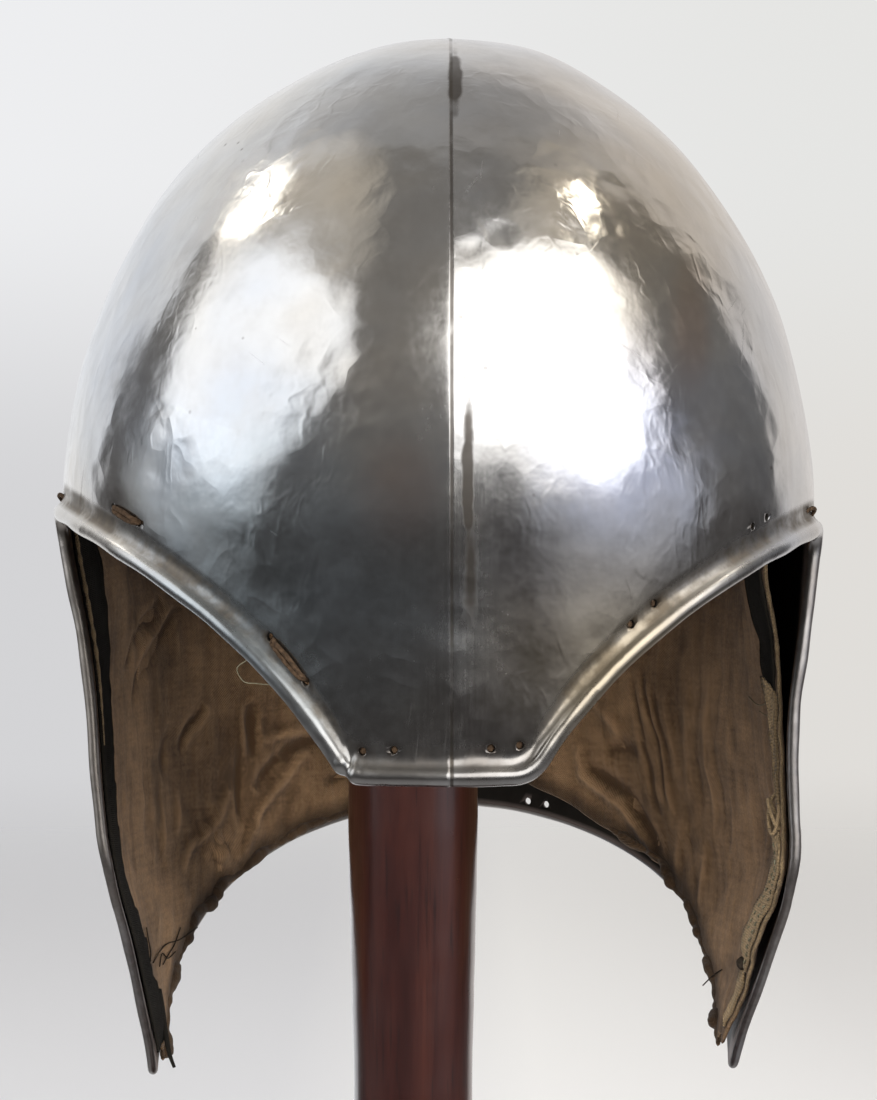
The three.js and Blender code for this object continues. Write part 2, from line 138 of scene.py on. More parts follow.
def wall(chart, depth):
    """Points at a depth under the outer face; chart holds their girth and rise."""
    n = skull_normal(chart[..., 0], chart[..., 1])
    return skull(chart[..., 0], chart[..., 1]) - n * np.asarray(depth)[..., None]


# The rim and the columns of the wall, as in the part

def bezier(points, t):
    points = [np.asarray(p, float) for p in points]
    while len(points) > 1:
        points = [a + (b - a) * t for a, b in zip(points, points[1:])]
    return points[0]


def towards(a, b, distance):
    return a + (b - a) / np.linalg.norm(b - a) * distance


def rim_pieces(side):
    """Control points of each stretch of the rim on one side, and the rim's sharp corners."""
    def at(girth, rise):
        return np.array([girth - side["sign"] * KEEL_SIDE * math.cos(girth / HALF_GIRTH * math.pi), rise])

    start, nape = np.array([0, NASAL_LEVEL]), np.array([HALF_GIRTH, NAPE_LEVEL])
    nasal, brow = at(27, NASAL_LEVEL), at(50, -34)
    high, temple = at(88, -2 + side["temple"] / 2), at(172, side["temple"])
    kink, tip = at(151, side["kink"]), at(187, side["tip"])
    low, back = at(235, -130), np.array([300, NAPE_LEVEL])
    a, b = towards(nasal, start, 6), towards(nasal, brow, 6)
    c, d = towards(temple, high, 9), towards(temple, kink, 9)
    e, f = towards(kink, temple, 6), towards(kink, tip, 6)
    g, h = towards(tip, kink, 4), towards(tip, low, 4)
    pieces = [(start, a), (a, nasal, b), (b, brow, high, c), (c, temple, d), (d, e), (e, kink, f)]
    return pieces + [(f, g), (g, tip, h), (h, low, back, nape)], (nasal, kink, tip)


def half_columns(side, steps):
    """Columns of one side, at the given spacing along each stretch of the rim."""
    pieces, corners = rim_pieces(side)
    found = {k: [] for k in ("end", "out", "stretch", "along", *RIM_VALUES)}
    passed = 0.0
    for i, (points, values) in enumerate(zip(pieces, STRETCHES.values())):
        run = bezier(points, np.linspace(0, 1, 400)[:, None])
        gone = np.concatenate([[0], np.cumsum(np.linalg.norm(np.diff(run, axis=0), axis=1))])
        count = max(2, math.ceil(gone[-1] / steps[i]))
        share = np.arange(0 if i == 0 else 1, count + 1) / count
        # closer columns at both keels
        if i == 0:
            share = share ** 1.7
        if i == len(pieces) - 1:
            share = 1 - (1 - share) ** 1.25
        heading = np.gradient(run, axis=0)
        heading /= np.linalg.norm(heading, axis=1, keepdims=True)
        spot = share * gone[-1]
        end = np.stack([np.interp(spot, gone, run[:, k]) for k in (0, 1)], 1)
        head = np.stack([np.interp(spot, gone, heading[:, k]) for k in (0, 1)], 1)
        found["end"].append(end)
        found["out"].append(np.stack([head[:, 1], -head[:, 0]], 1))
        found["stretch"].append(np.full(len(share), i))
        found["along"].append(passed + spot)
        passed += gone[-1]
        for key, (first, last) in values.items():
            found[key].append(first + (last - first) * share)
    cols = {k: np.concatenate(v) for k, v in found.items()}
    cols["inset"] = cols["inset"] + side["cloth_back"] * cols["back"]
    # each column leaves its top straight down and meets the rim squarely, bending tighter near corners
    end, out = cols["end"], cols["out"]
    top = np.stack([np.minimum(end[:, 0] + cols["fan"], HALF_GIRTH), np.full(len(end), RING_RISE)], 1)
    drop = np.linalg.norm(top - end, axis=1)
    room = np.min([np.linalg.norm(end - c, axis=1) for c in corners], axis=0)
    bend = np.minimum(np.minimum(26, 2 + 0.35 * room), 0.35 * drop)
    leave = top - np.stack([0 * drop, 0.4 * drop], 1)
    t = np.linspace(0, 1, 161)[None, :, None]
    cols["line"] = bezier([p[:, None, :] for p in (top, leave, end - out * bend[:, None], end)], t)
    cols["sign"] = np.full(len(end), side["sign"], float)
    return cols


def make_columns(steps):
    """All columns in order round the helmet; the sides share the front and the back keel."""
    left, right = half_columns(SIDES["left"], steps), half_columns(SIDES["right"], steps)
    cols = {k: np.concatenate([left[k], right[k][-2:0:-1]]) for k in left}
    steps_along = np.linalg.norm(np.diff(cols["line"], axis=1), axis=2)
    cols["run"] = np.concatenate([np.zeros((len(steps_along), 1)), np.cumsum(steps_along, axis=1)], axis=1)
    cols["length"] = cols["run"][:, -1]
    return cols


def on(cols, *names):
    """Which columns end on the named stretches of the rim."""
    order = list(STRETCHES)
    return np.isin(cols["stretch"], [order.index(name) for name in names])


def chart_at(cols, distance):
    """Chart points at distances (columns x rows) from the rim."""
    out = np.empty(distance.shape + (2,))
    for i, row in enumerate(distance):
        for k in (0, 1):
            out[i, :, k] = np.interp(cols["length"][i] - row, cols["run"][i], cols["line"][i, :, k])
    out[..., 0] *= cols["sign"][:, None]
    return out


def dome_chart(cols, rows):
    """Chart points between the apex and the tops of the columns."""
    rise = APEX_RISE + (RING_RISE - APEX_RISE) * np.arange(1, rows) / rows
    girth = cols["line"][:, 0, 0] * cols["sign"]
    return np.stack(np.broadcast_arrays(girth[:, None], rise[None, :]), -1)


def ripple(points, wavelength, seed):
    """Even, seeded waviness of about unit height over points in mm."""
    waves = 24
    rng = np.random.default_rng(seed)
    ways = rng.normal(size=(waves, points.shape[-1]))
    ways /= np.linalg.norm(ways, axis=1, keepdims=True)
    k = ways * (2 * math.pi / (wavelength * rng.uniform(0.75, 1.4, (waves, 1))))
    phase = rng.uniform(0, 2 * math.pi, waves)
    return np.sin(points @ k.T + phase).sum(-1) / math.sqrt(waves / 2)


def ripple_along(run, wavelength, seed):
    return ripple(run[:, None], wavelength, seed)


# Meshes

def new_object(name, verts, faces, mats):
    mesh = bpy.data.meshes.new(name)
    mesh.from_pydata(np.asarray(verts, float).tolist(), [], [list(map(int, f)) for f in faces])
    mesh.validate()
    for m in mats:
        mesh.materials.append(m)
    mesh.polygons.foreach_set("use_smooth", [True] * len(mesh.polygons))
    obj = bpy.data.objects.new(name, mesh)
    bpy.context.scene.collection.objects.link(obj)
    return obj


def face_outward(obj):
    work = bmesh.new()
    work.from_mesh(obj.data)
    bmesh.ops.recalc_face_normals(work, faces=work.faces)
    work.to_mesh(obj.data)
    work.free()
    return obj


def points_of(obj):
    return np.array([v.co for v in obj.data.vertices])


def attribute(obj, name, values):
    values = np.asarray(values, np.float32)
    kind, key = ("FLOAT", "value") if values.ndim == 1 else ("FLOAT_VECTOR", "vector")
    layer = obj.data.attributes.new(name, kind, "POINT")
    layer.data.foreach_set(key, values.ravel())


def cord_attributes(obj, stain):
    """The cloth's attributes for a rolled piece: its weave runs with its place, its stain is even."""
    co = points_of(obj)
    attribute(obj, "chart", np.column_stack([co[:, 1] + co[:, 0], co[:, 2], np.zeros(len(co))]))
    attribute(obj, "stain", np.full(len(co), stain))


def grid_faces(columns, rows, wrap_columns=False, wrap_rows=False):
    c = np.arange(columns if wrap_columns else columns - 1)[:, None]
    r = np.arange(rows if wrap_rows else rows - 1)[None, :]
    here, there = c * rows, ((c + 1) % columns) * rows
    up = (r + 1) % rows
    return np.stack([here + r, here + up, there + up, there + r], -1).reshape(-1, 4)


def bowl(name, outer_apex, profiles, inner_apex, mats):
    """A closed bowl from profiles that run from the outer apex round the rim to the inner apex."""
    n, rows = profiles.shape[:2]
    verts = np.concatenate([[outer_apex], profiles.reshape(-1, 3), [inner_apex]])
    faces = (grid_faces(n, rows, wrap_columns=True) + 1).tolist()
    last = len(verts) - 1
    for c in range(n):
        here, there = 1 + c * rows, 1 + (c + 1) % n * rows
        faces += [(0, here, there), (last, there + rows - 1, here + rows - 1)]
    return new_object(name, place(verts), faces, mats)


def tube_rings(path, radius, sides=8):
    """Rings of a round strand along path (points in mm), with the radius at each point."""
    path = np.asarray(path, float)
    radius = np.broadcast_to(radius, len(path))
    heading = np.gradient(path, axis=0)
    heading /= np.linalg.norm(heading, axis=1, keepdims=True)
    aside = np.cross(heading[0], (0.31, 0.87, 0.38))
    rings = []
    for p, h, r in zip(path, heading, radius):
        aside = aside - h * (aside @ h)
        aside /= np.linalg.norm(aside)
        other = np.cross(h, aside)
        turn = np.arange(sides) / sides * 2 * math.pi
        rings.append(p + r * (np.cos(turn)[:, None] * aside + np.sin(turn)[:, None] * other))
    return np.array(rings)


def spline(points, count):
    """A smooth run of count points through the given ones."""
    points = np.asarray(points, float)
    knots = np.concatenate([[0], np.cumsum(np.linalg.norm(np.diff(points, axis=0), axis=1))])
    slope = np.gradient(points, knots, axis=0)
    t = np.linspace(0, knots[-1], count)
    i = np.clip(np.searchsorted(knots, t, side="right") - 1, 0, len(knots) - 2)
    h = (knots[i + 1] - knots[i])[:, None]
    u = ((t - knots[i])[:, None]) / h
    from_a = (2 * u ** 3 - 3 * u ** 2 + 1) * points[i] + (u ** 3 - 2 * u ** 2 + u) * (slope[i] * h)
    return from_a + (3 * u ** 2 - 2 * u ** 3) * points[i + 1] + (u ** 3 - u ** 2) * (slope[i + 1] * h)


def joined(name, parts, mats):
    """One object from the rings of several strands."""
    verts, faces, base = [], [], 0
    for rings in parts:
        n, sides = rings.shape[:2]
        faces += (grid_faces(n, sides, wrap_rows=True) + base).tolist()
        faces.append(tuple(range(base, base + sides)))
        faces.append(tuple(range(base + n * sides - 1, base + (n - 1) * sides - 1, -1)))
        verts.append(rings.reshape(-1, 3))
        base += n * sides
    return face_outward(new_object(name, np.concatenate(verts) / 1000, faces, mats))


# Materials

class Nodes:
    """Short ways to build one node tree."""

    def __init__(self, tree):
        self.tree = tree
        tree.nodes.clear()

    def add(self, kind, props=None, **inputs):
        node = self.tree.nodes.new("ShaderNode" + kind)
        for k, v in (props or {}).items():
            setattr(node, k, v)
        for k, v in inputs.items():
            self.set(node.inputs[k.replace("_", " ")], v)
        return node

    def set(self, socket, value):
        if isinstance(value, bpy.types.NodeSocket):
            self.tree.links.new(value, socket)
        elif isinstance(value, (tuple, list)) and socket.type == "RGBA" and len(value) == 3:
            socket.default_value = (*value, 1)
        else:
            socket.default_value = value

    def here(self):
        return self.add("TexCoord").outputs["Object"]

    def xyz(self, vector):
        return list(self.add("SeparateXYZ", Vector=vector).outputs)

    def math(self, op, a, b=0.0, c=0.0):
        node = self.add("Math", {"operation": op})
        for socket, value in zip(node.inputs, (a, b, c)):
            self.set(socket, value)
        return node.outputs[0]

    def times(self, a, b):
        return self.math("MULTIPLY", a, b)

    def plus(self, total, part, share):
        """total with a share of part added."""
        return self.math("MULTIPLY_ADD", part, share, total)

    def most(self, values):
        total = values[0]
        for v in values[1:]:
            total = self.math("MAXIMUM", total, v)
        return total

    def mix(self, factor, a, b):
        node = self.add("Mix", {"data_type": "RGBA"})
        for socket, value in ((0, factor), (6, a), (7, b)):
            self.set(node.inputs[socket], value)
        return node.outputs[2]

    def range(self, value, low, high, to_low=0.0, to_high=1.0, kind="SMOOTHSTEP"):
        node = self.add("MapRange", {"interpolation_type": kind})
        for socket, v in zip(node.inputs, (value, low, high, to_low, to_high)):
            self.set(socket, v)
        return node.outputs[0]

    def mapped(self, vector, scale=(1, 1, 1), turn=(0, 0, 0)):
        return self.add("Mapping", Vector=vector, Scale=scale, Rotation=turn).outputs[0]

    def noise(self, vector, scale, detail=3.0, rough=0.55, distortion=0.0):
        node = self.add("TexNoise", Vector=vector, Scale=scale, Detail=detail, Roughness=rough)
        node.inputs["Distortion"].default_value = distortion
        return node.outputs[0]

    def cells(self, vector, scale):
        return self.add("TexVoronoi", {"feature": "F1"}, Vector=vector, Scale=scale).outputs["Distance"]

    def ramp(self, value, stops):
        node = self.add("ValToRGB")
        self.set(node.inputs[0], value)
        while len(node.color_ramp.elements) < len(stops):
            node.color_ramp.elements.new(0.5)
        for element, (at, colour) in zip(node.color_ramp.elements, stops):
            element.position, element.color = at, (*colour, 1)
        return node.outputs[0]

    def attr(self, name, output="Fac"):
        return self.add("Attribute", {"attribute_name": name}).outputs[output]

    def bump(self, height, distance, strength, normal=None):
        node = self.add("Bump", Strength=strength, Distance=distance, Height=height)
        if normal:
            self.set(node.inputs["Normal"], normal)
        return node.outputs[0]

    def finish(self, shader, kind="OutputMaterial"):
        self.tree.links.new(shader.outputs[0], self.add(kind).inputs["Surface"])

    def surface(self, **inputs):
        self.finish(self.add("BsdfPrincipled", **inputs))

    def spot(self, xyz, centre, radii, edge, wobble=0.0, noise=None):
        """Soft oval mark seen from the front: 1 inside, fading out over edge (shares of the radii)."""
        dx = self.math("DIVIDE", self.math("SUBTRACT", xyz[0], centre[0]), radii[0])
        dz = self.math("DIVIDE", self.math("SUBTRACT", xyz[2], centre[1]), radii[1])
        away = self.math("SQRT", self.math("ADD", self.times(dx, dx), self.times(dz, dz)))
        if noise is not None:
            away = self.plus(away, self.math("SUBTRACT", noise, 0.5), wobble)
        mark = self.range(away, 1 - edge, 1 + edge, 1.0, 0.0)
        return self.times(mark, self.math("LESS_THAN", xyz[1], 0.0))


def material(name):
    mat = bpy.data.materials.new(name)
    mat.use_nodes = True
    return mat, Nodes(mat.node_tree)


# Marks of the steel as seen from the front: x and z of the middle, then half width and half height, all in m
# the coppery marks are painted reflections of a coppery object, not a tint of the steel
COPPER_REFLECTION_TINT, COPPER_REFLECTIONS = (0.50, 0.33, 0.25), [
    ((-0.0035, 0.262), (0.009, 0.013)),
    ((0.074, 0.307), (0.005, 0.014)),
]
TEMPER_MARKS = [
    # middle, radii, tint, share: straw, grey-blue, violet and brown
    ((0.052, 0.220), (0.024, 0.022), (0.50, 0.41, 0.26), 0.6),
    ((-0.030, 0.238), (0.034, 0.034), (0.36, 0.43, 0.47), 0.6),
    ((0.055, 0.278), (0.020, 0.020), (0.49, 0.53, 0.70), 0.55),
    ((0.070, 0.330), (0.016, 0.026), (0.52, 0.43, 0.30), 0.4),
]
DRIP_TINT, DRIPS = (0.065, 0.052, 0.04), [
    # middle, radii, edge, wander
    ((0.0117, 0.373), (0.0017, 0.010), 0.3, 1.2),
    ((0.0148, 0.266), (0.0014, 0.019), 0.3, 1.5),
    ((0.0154, 0.243), (0.0018, 0.012), 0.6, 1.5),
]
PITTED_MARKS = [
    ((-0.051, 0.3545), (0.007, 0.004)),
    ((0.101, 0.266), (0.006, 0.007)),
    ((0.042, 0.2735), (0.010, 0.006)),
]
SCRATCHES = [
    # turn of the scratches, scale of the patches that have them
    ((0, 0.9, 0), 28),
    ((0, -0.6, 0.2), 33),
    ((0, 1.45, 0), 21),
]
KEEL_X = 0.0106


def steel_masks(n, spot, xyz, mottle, fine):
    """Where each mark of the steel lies, from 0 to 1."""
    masks = {}
    masks["low"] = n.times(n.range(xyz[2], 0.285, 0.215), n.range(xyz[1], -0.06, -0.10))
    masks["copper"] = n.most([n.spot(xyz, *mark, 0.6, 0.8, mottle) for mark in COPPER_REFLECTIONS])
    wander = n.noise(spot, 130, 2, 0.5)
    masks["drip"] = n.most([n.spot(xyz, *mark, wander) for mark in DRIPS])
    # the keel's dark groove line, and brush marks beside it
    from_keel = n.math("ABSOLUTE", n.math("SUBTRACT", xyz[0], KEEL_X))
    masks["groove"] = n.range(from_keel, 0.0002, 0.0007, 1.0, 0.0)
    masks["line"] = n.times(masks["groove"], n.range(n.noise(spot, 60, 3), 0.3, 0.5, 0.45, 1.0))
    front = n.math("LESS_THAN", xyz[1], 0.0)
    masks["beside"] = n.times(n.range(from_keel, 0.002, 0.018, 0.4, 0.06), front)
    # pits, alone and in patches
    alone = n.range(n.noise(spot, 24, 2), 0.54, 0.68, 0.0, 0.7)
    patches = n.most([n.spot(xyz, *mark, 0.5) for mark in PITTED_MARKS])
    masks["pit"] = n.times(n.range(n.cells(spot, 150.0), 0.05, 0.11, 1.0, 0.0), n.most([alone, patches]))
    lines = []
    for angles, patch in SCRATCHES:
        hair = n.noise(n.mapped(n.mapped(spot, turn=angles), scale=(26, 26, 700)), 1.0, 2, 0.5)
        lines.append(n.times(n.range(hair, 0.70, 0.74), n.range(n.noise(spot, patch, 2), 0.58, 0.68)))
    masks["scratch"] = n.most(lines)
    # the cove along the rim, the lacing holes, the dull lower edges and the worn roll
    masks["tarnish"] = n.times(n.attr("tarnish"), n.range(mottle, 0.34, 0.6, 0.3, 1.0))
    masks["grime"] = n.times(n.attr("grime"), n.range(fine, 0.3, 0.6, 0.6, 1.0))
    masks["dull"] = n.times(n.attr("dull"), n.range(mottle, 0.3, 0.6, 0.7, 1.0))
    masks["worn"] = n.attr("worn")
    return masks


def steel_colour(n, spot, xyz, mottle, fine, masks):
    broad = n.noise(spot, 16, 3, 0.5)
    greys = [(0.3, (0.50, 0.52, 0.56)), (0.5, (0.57, 0.565, 0.56)), (0.68, (0.585, 0.55, 0.50))]
    colour = n.ramp(broad, greys)
    colour = n.mix(n.range(mottle, 0.42, 0.7, 0.0, 0.28), colour, (0.40, 0.385, 0.37))
    # browner, darker steel over the lower front, painted reflections of a coppery object and faint temper
    # colours
    haze = n.times(masks["low"], n.range(mottle, 0.3, 0.65, 0.45, 0.85))
    colour = n.mix(haze, colour, (0.29, 0.275, 0.265))
    colour = n.mix(n.times(masks["copper"], 0.45), colour, COPPER_REFLECTION_TINT)
    for centre, radii, tint, share in TEMPER_MARKS:
        colour = n.mix(n.times(n.spot(xyz, centre, radii, 0.8, 0.9, mottle), share), colour, tint)
    colour = n.mix(n.times(masks["drip"], 0.85), colour, DRIP_TINT)
    colour = n.mix(n.times(masks["line"], 0.8), colour, (0.08, 0.067, 0.054))
    colour = n.mix(n.times(masks["pit"], 0.75), colour, (0.10, 0.08, 0.065))
    brown = n.ramp(fine, [(0.3, (0.06, 0.043, 0.025)), (0.7, (0.16, 0.122, 0.076))])
    colour = n.mix(n.times(masks["tarnish"], 0.85), colour, brown)
    colour = n.mix(masks["grime"], colour, (0.055, 0.035, 0.02))
    grey = n.ramp(fine, [(0.3, (0.11, 0.09, 0.08)), (0.7, (0.24, 0.205, 0.19))])
    return n.mix(n.times(masks["dull"], 0.8), colour, grey)


def steel_roughness(n, spot, fine, masks):
    haze = n.range(n.noise(spot, 30, 3, 0.5), 0.3, 0.72, kind="LINEAR")
    rough = n.plus(n.range(fine, 0.3, 0.7, 0.10, 0.16, "LINEAR"), haze, 0.09)
    brushed = n.noise(n.mapped(spot, (1500, 1500, 30)), 1.0, 3, 0.6)
    rough = n.plus(rough, masks["beside"], n.range(brushed, 0.35, 0.7, 0.0, 0.12))
    more = dict(low=0.05, drip=0.2, tarnish=0.3, dull=0.2, pit=0.05, line=0.12, scratch=0.12, worn=0.06)
    for name, share in more.items():
        rough = n.plus(rough, masks[name], share)
    return n.math("MINIMUM", rough, 0.7)


def steel_height(n, spot, groove):
    """Hammer marks a centimetre wide, stronger in some patches, a fine unevenness and thin wrinkles."""
    bent = n.add("VectorMath", {"operation": "MULTIPLY_ADD"})
    n.set(bent.inputs[0], n.add("TexNoise", Vector=spot, Scale=60.0).outputs["Color"])
    bent.inputs[1].default_value = (0.010, 0.010, 0.010)
    n.set(bent.inputs[2], spot)
    pans = n.cells(bent.outputs[0], 105.0)
    struck = n.times(n.range(pans, 0.0, 0.75), n.range(n.noise(spot, 20, 2), 0.42, 0.62, 0.15, 0.75))
    height = n.plus(n.times(struck, 0.7), n.noise(spot, 48, 4, 0.5), 0.6)
    fold = n.noise(n.mapped(bent.outputs[0], (115, 115, 70)), 1.0, 2, 0.5)
    wrinkle = n.range(n.math("ABSOLUTE", n.math("SUBTRACT", fold, 0.5)), 0.0, 0.10, 1.0, 0.0)
    wrinkle = n.times(wrinkle, n.range(n.noise(spot, 26, 2), 0.45, 0.62))
    return n.plus(n.plus(height, wrinkle, 0.085), groove, -0.1)


def steel_material():
    mat, n = material("hammered_steel")
    spot = n.here()
    xyz = n.xyz(spot)
    mottle, fine = n.noise(spot, 70, 5, 0.6), n.noise(spot, 420, 3, 0.6)
    masks = steel_masks(n, spot, xyz, mottle, fine)
    n.surface(
        Base_Color=steel_colour(n, spot, xyz, mottle, fine, masks), Metallic=1.0,
        Roughness=steel_roughness(n, spot, fine, masks),
        Normal=n.bump(steel_height(n, spot, masks["groove"]), 0.001, 0.4))
    return mat


def inner_steel_material():
    mat, n = material("blackened_and_shaded_inside")
    spot = n.here()
    stain = n.noise(spot, 40, 5, 0.65)
    # near black: partly the blackened steel, partly painted shade of the shadowed inside; the dull attribute
    # makes it lighter, dull steel near the rim
    black = [(0.3, (0.010, 0.009, 0.008)), (0.6, (0.028, 0.024, 0.020)), (0.8, (0.05, 0.035, 0.024))]
    dull = n.ramp(stain, [(0.3, (0.13, 0.10, 0.09)), (0.7, (0.27, 0.22, 0.20))])
    n.surface(
        Base_Color=n.mix(n.attr("dull"), n.ramp(stain, black), dull), Metallic=0.6,
        Roughness=n.range(stain, 0.3, 0.7, 0.45, 0.7, "LINEAR"),
        Normal=n.bump(n.noise(spot, 180, 4, 0.6), 0.0006, 0.6))
    return mat


def weave_height(n, chart, thread):
    """Height of a plain weave with threads of the given pitch, over chart metres."""
    slip = n.noise(n.mapped(chart, (300, 300, 300)), 1.0, 2)
    waves = []
    for a in n.xyz(chart)[:2]:
        waves.append(n.math("SINE", n.plus(n.times(a, 2 * math.pi / thread), slip, 1.5)))
    return n.math("MULTIPLY_ADD", n.times(*waves), 0.5, 0.5)


def cloth_material(name, dark, light, stain_colour, thread=0.0008, fold=True, sheen=0.1):
    """Woven cloth; the colours are linear, thread is the weave's pitch in m."""
    mat, n = material(name)
    chart = n.attr("chart", "Vector")
    weave = weave_height(n, chart, thread)
    broad = n.noise(n.mapped(chart, (22, 22, 22)), 1.0, 5, 0.62)
    warp = n.noise(n.mapped(chart, (620, 34, 1)), 1.0, 3, 0.6)
    weft = n.noise(n.mapped(chart, (60, 700, 1)), 1.0, 2, 0.5)
    speck = n.noise(n.mapped(chart, (900, 900, 1)), 1.0, 2, 0.7)
    tone = broad
    for part, share in ((warp, 0.22), (weft, 0.24), (speck, 0.5)):
        tone = n.plus(tone, n.math("SUBTRACT", part, 0.5), share)
    if fold:
        # the fold attribute paints highlight on the fold crests and shade in the creases
        tone = n.plus(tone, n.attr("fold"), 0.7)
    middle = tuple((a + b) / 2 for a, b in zip(dark, light))
    colour = n.ramp(tone, [(0.25, dark), (0.52, middle), (0.8, light)])
    # painted shade between the threads: darker where the weave is low
    colour = n.mix(n.range(weave, 0.1, 0.6, 0.5, 0.0), colour, tuple(c * 0.45 for c in dark))
    soil = n.noise(n.mapped(chart, (75, 48, 1)), 1.0, 5, 0.66, 0.6)
    colour = n.mix(n.range(soil, 0.5, 0.72, 0.0, 0.6), colour, tuple(c * 0.55 for c in dark))
    # the stain attribute darkens the cloth: stains, and on the lining also a painted shadow along the rear
    # edge and painted shade up in the crown
    stain = n.times(n.attr("stain"), n.range(broad, 0.2, 0.7, 1.0, 0.75))
    height = n.plus(n.plus(weave, speck, 0.35), warp, 0.25)
    rumple = n.bump(n.noise(n.mapped(chart, (150, 60, 1)), 1.0, 4, 0.6), 0.0012, 0.8)
    n.surface(
        Base_Color=n.mix(stain, colour, stain_colour), Roughness=0.92, Specular_IOR_Level=1.5 * sheen,
        Sheen_Weight=sheen, Sheen_Roughness=0.5, Normal=n.bump(height, 0.00035, 0.7, rumple))
    return mat


def wood_material():
    mat, n = material("dark_mahogany")
    spot = n.here()
    rings = n.noise(n.mapped(spot, (1, 1, 0.09)), 90, 4, 0.6, 0.6)
    pores = n.noise(n.mapped(spot, (1, 1, 0.04)), 900, 2, 0.6)
    patch = n.noise(spot, 9, 3, 0.5)
    grain = [(0.3, (0.013, 0.0022, 0.0018)), (0.5, (0.027, 0.0055, 0.004)), (0.72, (0.05, 0.012, 0.007))]
    colour = n.mix(n.range(pores, 0.56, 0.7, 0.0, 0.7), n.ramp(rings, grain), (0.010, 0.003, 0.003))
    colour = n.mix(n.range(patch, 0.45, 0.7, 0.0, 0.45), colour, (0.020, 0.006, 0.006))
    # small pale nicks
    cells = n.cells(n.mapped(spot, (1, 1, 0.3)), 85.0)
    nick = n.times(n.range(cells, 0.05, 0.09, 1.0, 0.0), n.range(n.noise(spot, 40, 2), 0.55, 0.6))
    colour = n.mix(n.times(nick, 0.7), colour, (0.20, 0.13, 0.06))
    n.surface(
        Base_Color=colour, Roughness=n.range(n.noise(spot, 60, 4, 0.6), 0.3, 0.7, 0.26, 0.42, "LINEAR"),
        Specular_IOR_Level=0.55, Coat_Weight=1.0, Coat_Roughness=0.2, Coat_IOR=1.6,
        Normal=n.bump(n.plus(rings, pores, -0.5), 0.0004, 0.3))
    return mat


def thread_material(name, dark, light):
    mat, n = material(name)
    twist = n.noise(n.mapped(n.here(), (900, 900, 900)), 1.0, 2)
    n.surface(
        Base_Color=n.ramp(twist, [(0.3, dark), (0.7, light)]), Roughness=0.9, Specular_IOR_Level=0.15,
        Normal=n.bump(twist, 0.0003, 0.8))
    return mat


STEEL = steel_material()
INSIDE = inner_steel_material()
LINEN = cloth_material("stained_linen", (0.084, 0.047, 0.023), (0.345, 0.209, 0.108), (0.026, 0.016, 0.010))
TAPE = cloth_material(
    "dark_tape", (0.005, 0.0045, 0.0038), (0.022, 0.0195, 0.017), (0.02, 0.017, 0.013), 0.0006, False, 0.02)
TAN_TAPE = cloth_material(
    "tan_tape", (0.17, 0.115, 0.06), (0.46, 0.33, 0.185), (0.06, 0.04, 0.022), 0.0009, False)
WOOD = wood_material()
LACE = thread_material("lace_thread", (0.020, 0.0125, 0.008), (0.075, 0.047, 0.028))
PALE_THREAD = thread_material("pale_thread", (0.085, 0.08, 0.052), (0.20, 0.185, 0.125))
DARK_THREAD = thread_material("dark_thread", (0.012, 0.010, 0.008), (0.04, 0.03, 0.022))


# Steel shell

SHELL_STEPS = [1.4, 1.0, 2.4, 1.6, 3.2, 1.6, 3.2, 1.0, 3.0]
SHELL_WALL_ROWS, SHELL_DOME_ROWS, SHELL_INNER_ROWS = 60, 54, 14
# Lacing holes: girth, rise
PLUGGED_HOLES = [
    (-25.8, -56.2), (-16.2, -55.7), (12.5, -55.2), (21.4, -54.6),
    (57, -24), (65, -18.8), (106, 0.5), (114, 2.7),
]
LACED_HOLES = [((-114.5, 5.5), (-101.4, 1.5)), ((-54.4, -27.3), (-43.3, -38.5))]
NAPE_HOLES = [(338.5, -90.4), (331.5, -91.2), (-338.5, -90.4), (-331.5, -91.2)]
HOLES = [*PLUGGED_HOLES, *LACED_HOLES[0], *LACED_HOLES[1], *NAPE_HOLES]
HOLE_RADIUS = 1.1
# Single larger hollows and swellings: girth, rise, radius, depth
DENTS = [
    (-60, 57, 11, 0.30), (-64, 47, 8, -0.16), (-44, 43, 13, 0.24), (-72, 34, 12, 0.2), (-52, 70, 14, -0.2),
    (-78, 12, 14, 0.22), (-96, 30, 12, -0.15), (58, 46, 16, 0.22), (72, 20, 13, 0.22), (60, 2, 12, -0.15),
    (84, 44, 15, -0.18), (34, 8, 14, 0.2), (-30, 16, 15, 0.2), (100, 16, 11, 0.18), (46, 88, 13, 0.2),
]
HAMMER_MARKS, HAMMER_SEED = 620, 41


def dent_depth(points):
    """Depth of the hammer marks and dents at points of the outer face."""
    rng = np.random.default_rng(HAMMER_SEED)
    count = HAMMER_MARKS
    girth = rng.uniform(-HALF_GIRTH, HALF_GIRTH, count)
    rise = SKULL_HEIGHT * np.arcsin(rng.uniform(0, 1, count) ** 1.1)
    rise = np.where(rng.uniform(0, 1, count) < 0.4, rng.uniform(-110, 20, count), rise)
    radius = rng.uniform(5, 15, count)
    depth = radius ** 2 * rng.uniform(0.0006, 0.0022, count)
    depth = depth * np.where(rng.uniform(0, 1, count) < 0.62, 1, -1)
    more = np.array(DENTS, float).T
    girth, rise, radius, depth = (np.append(a, b) for a, b in zip((girth, rise, radius, depth), more))
    flat = points.reshape(-1, 3)
    total = 0.24 * ripple(flat, 52, 5) + 0.035 * ripple(flat, 19, 6)
    for c, size, deep in zip(skull(girth, rise), radius, depth):
        away = ((flat - c) ** 2).sum(1) / size ** 2
        near = away < 9
        total[near] += deep * np.exp(-away[near])
    return total.reshape(points.shape[:-1])


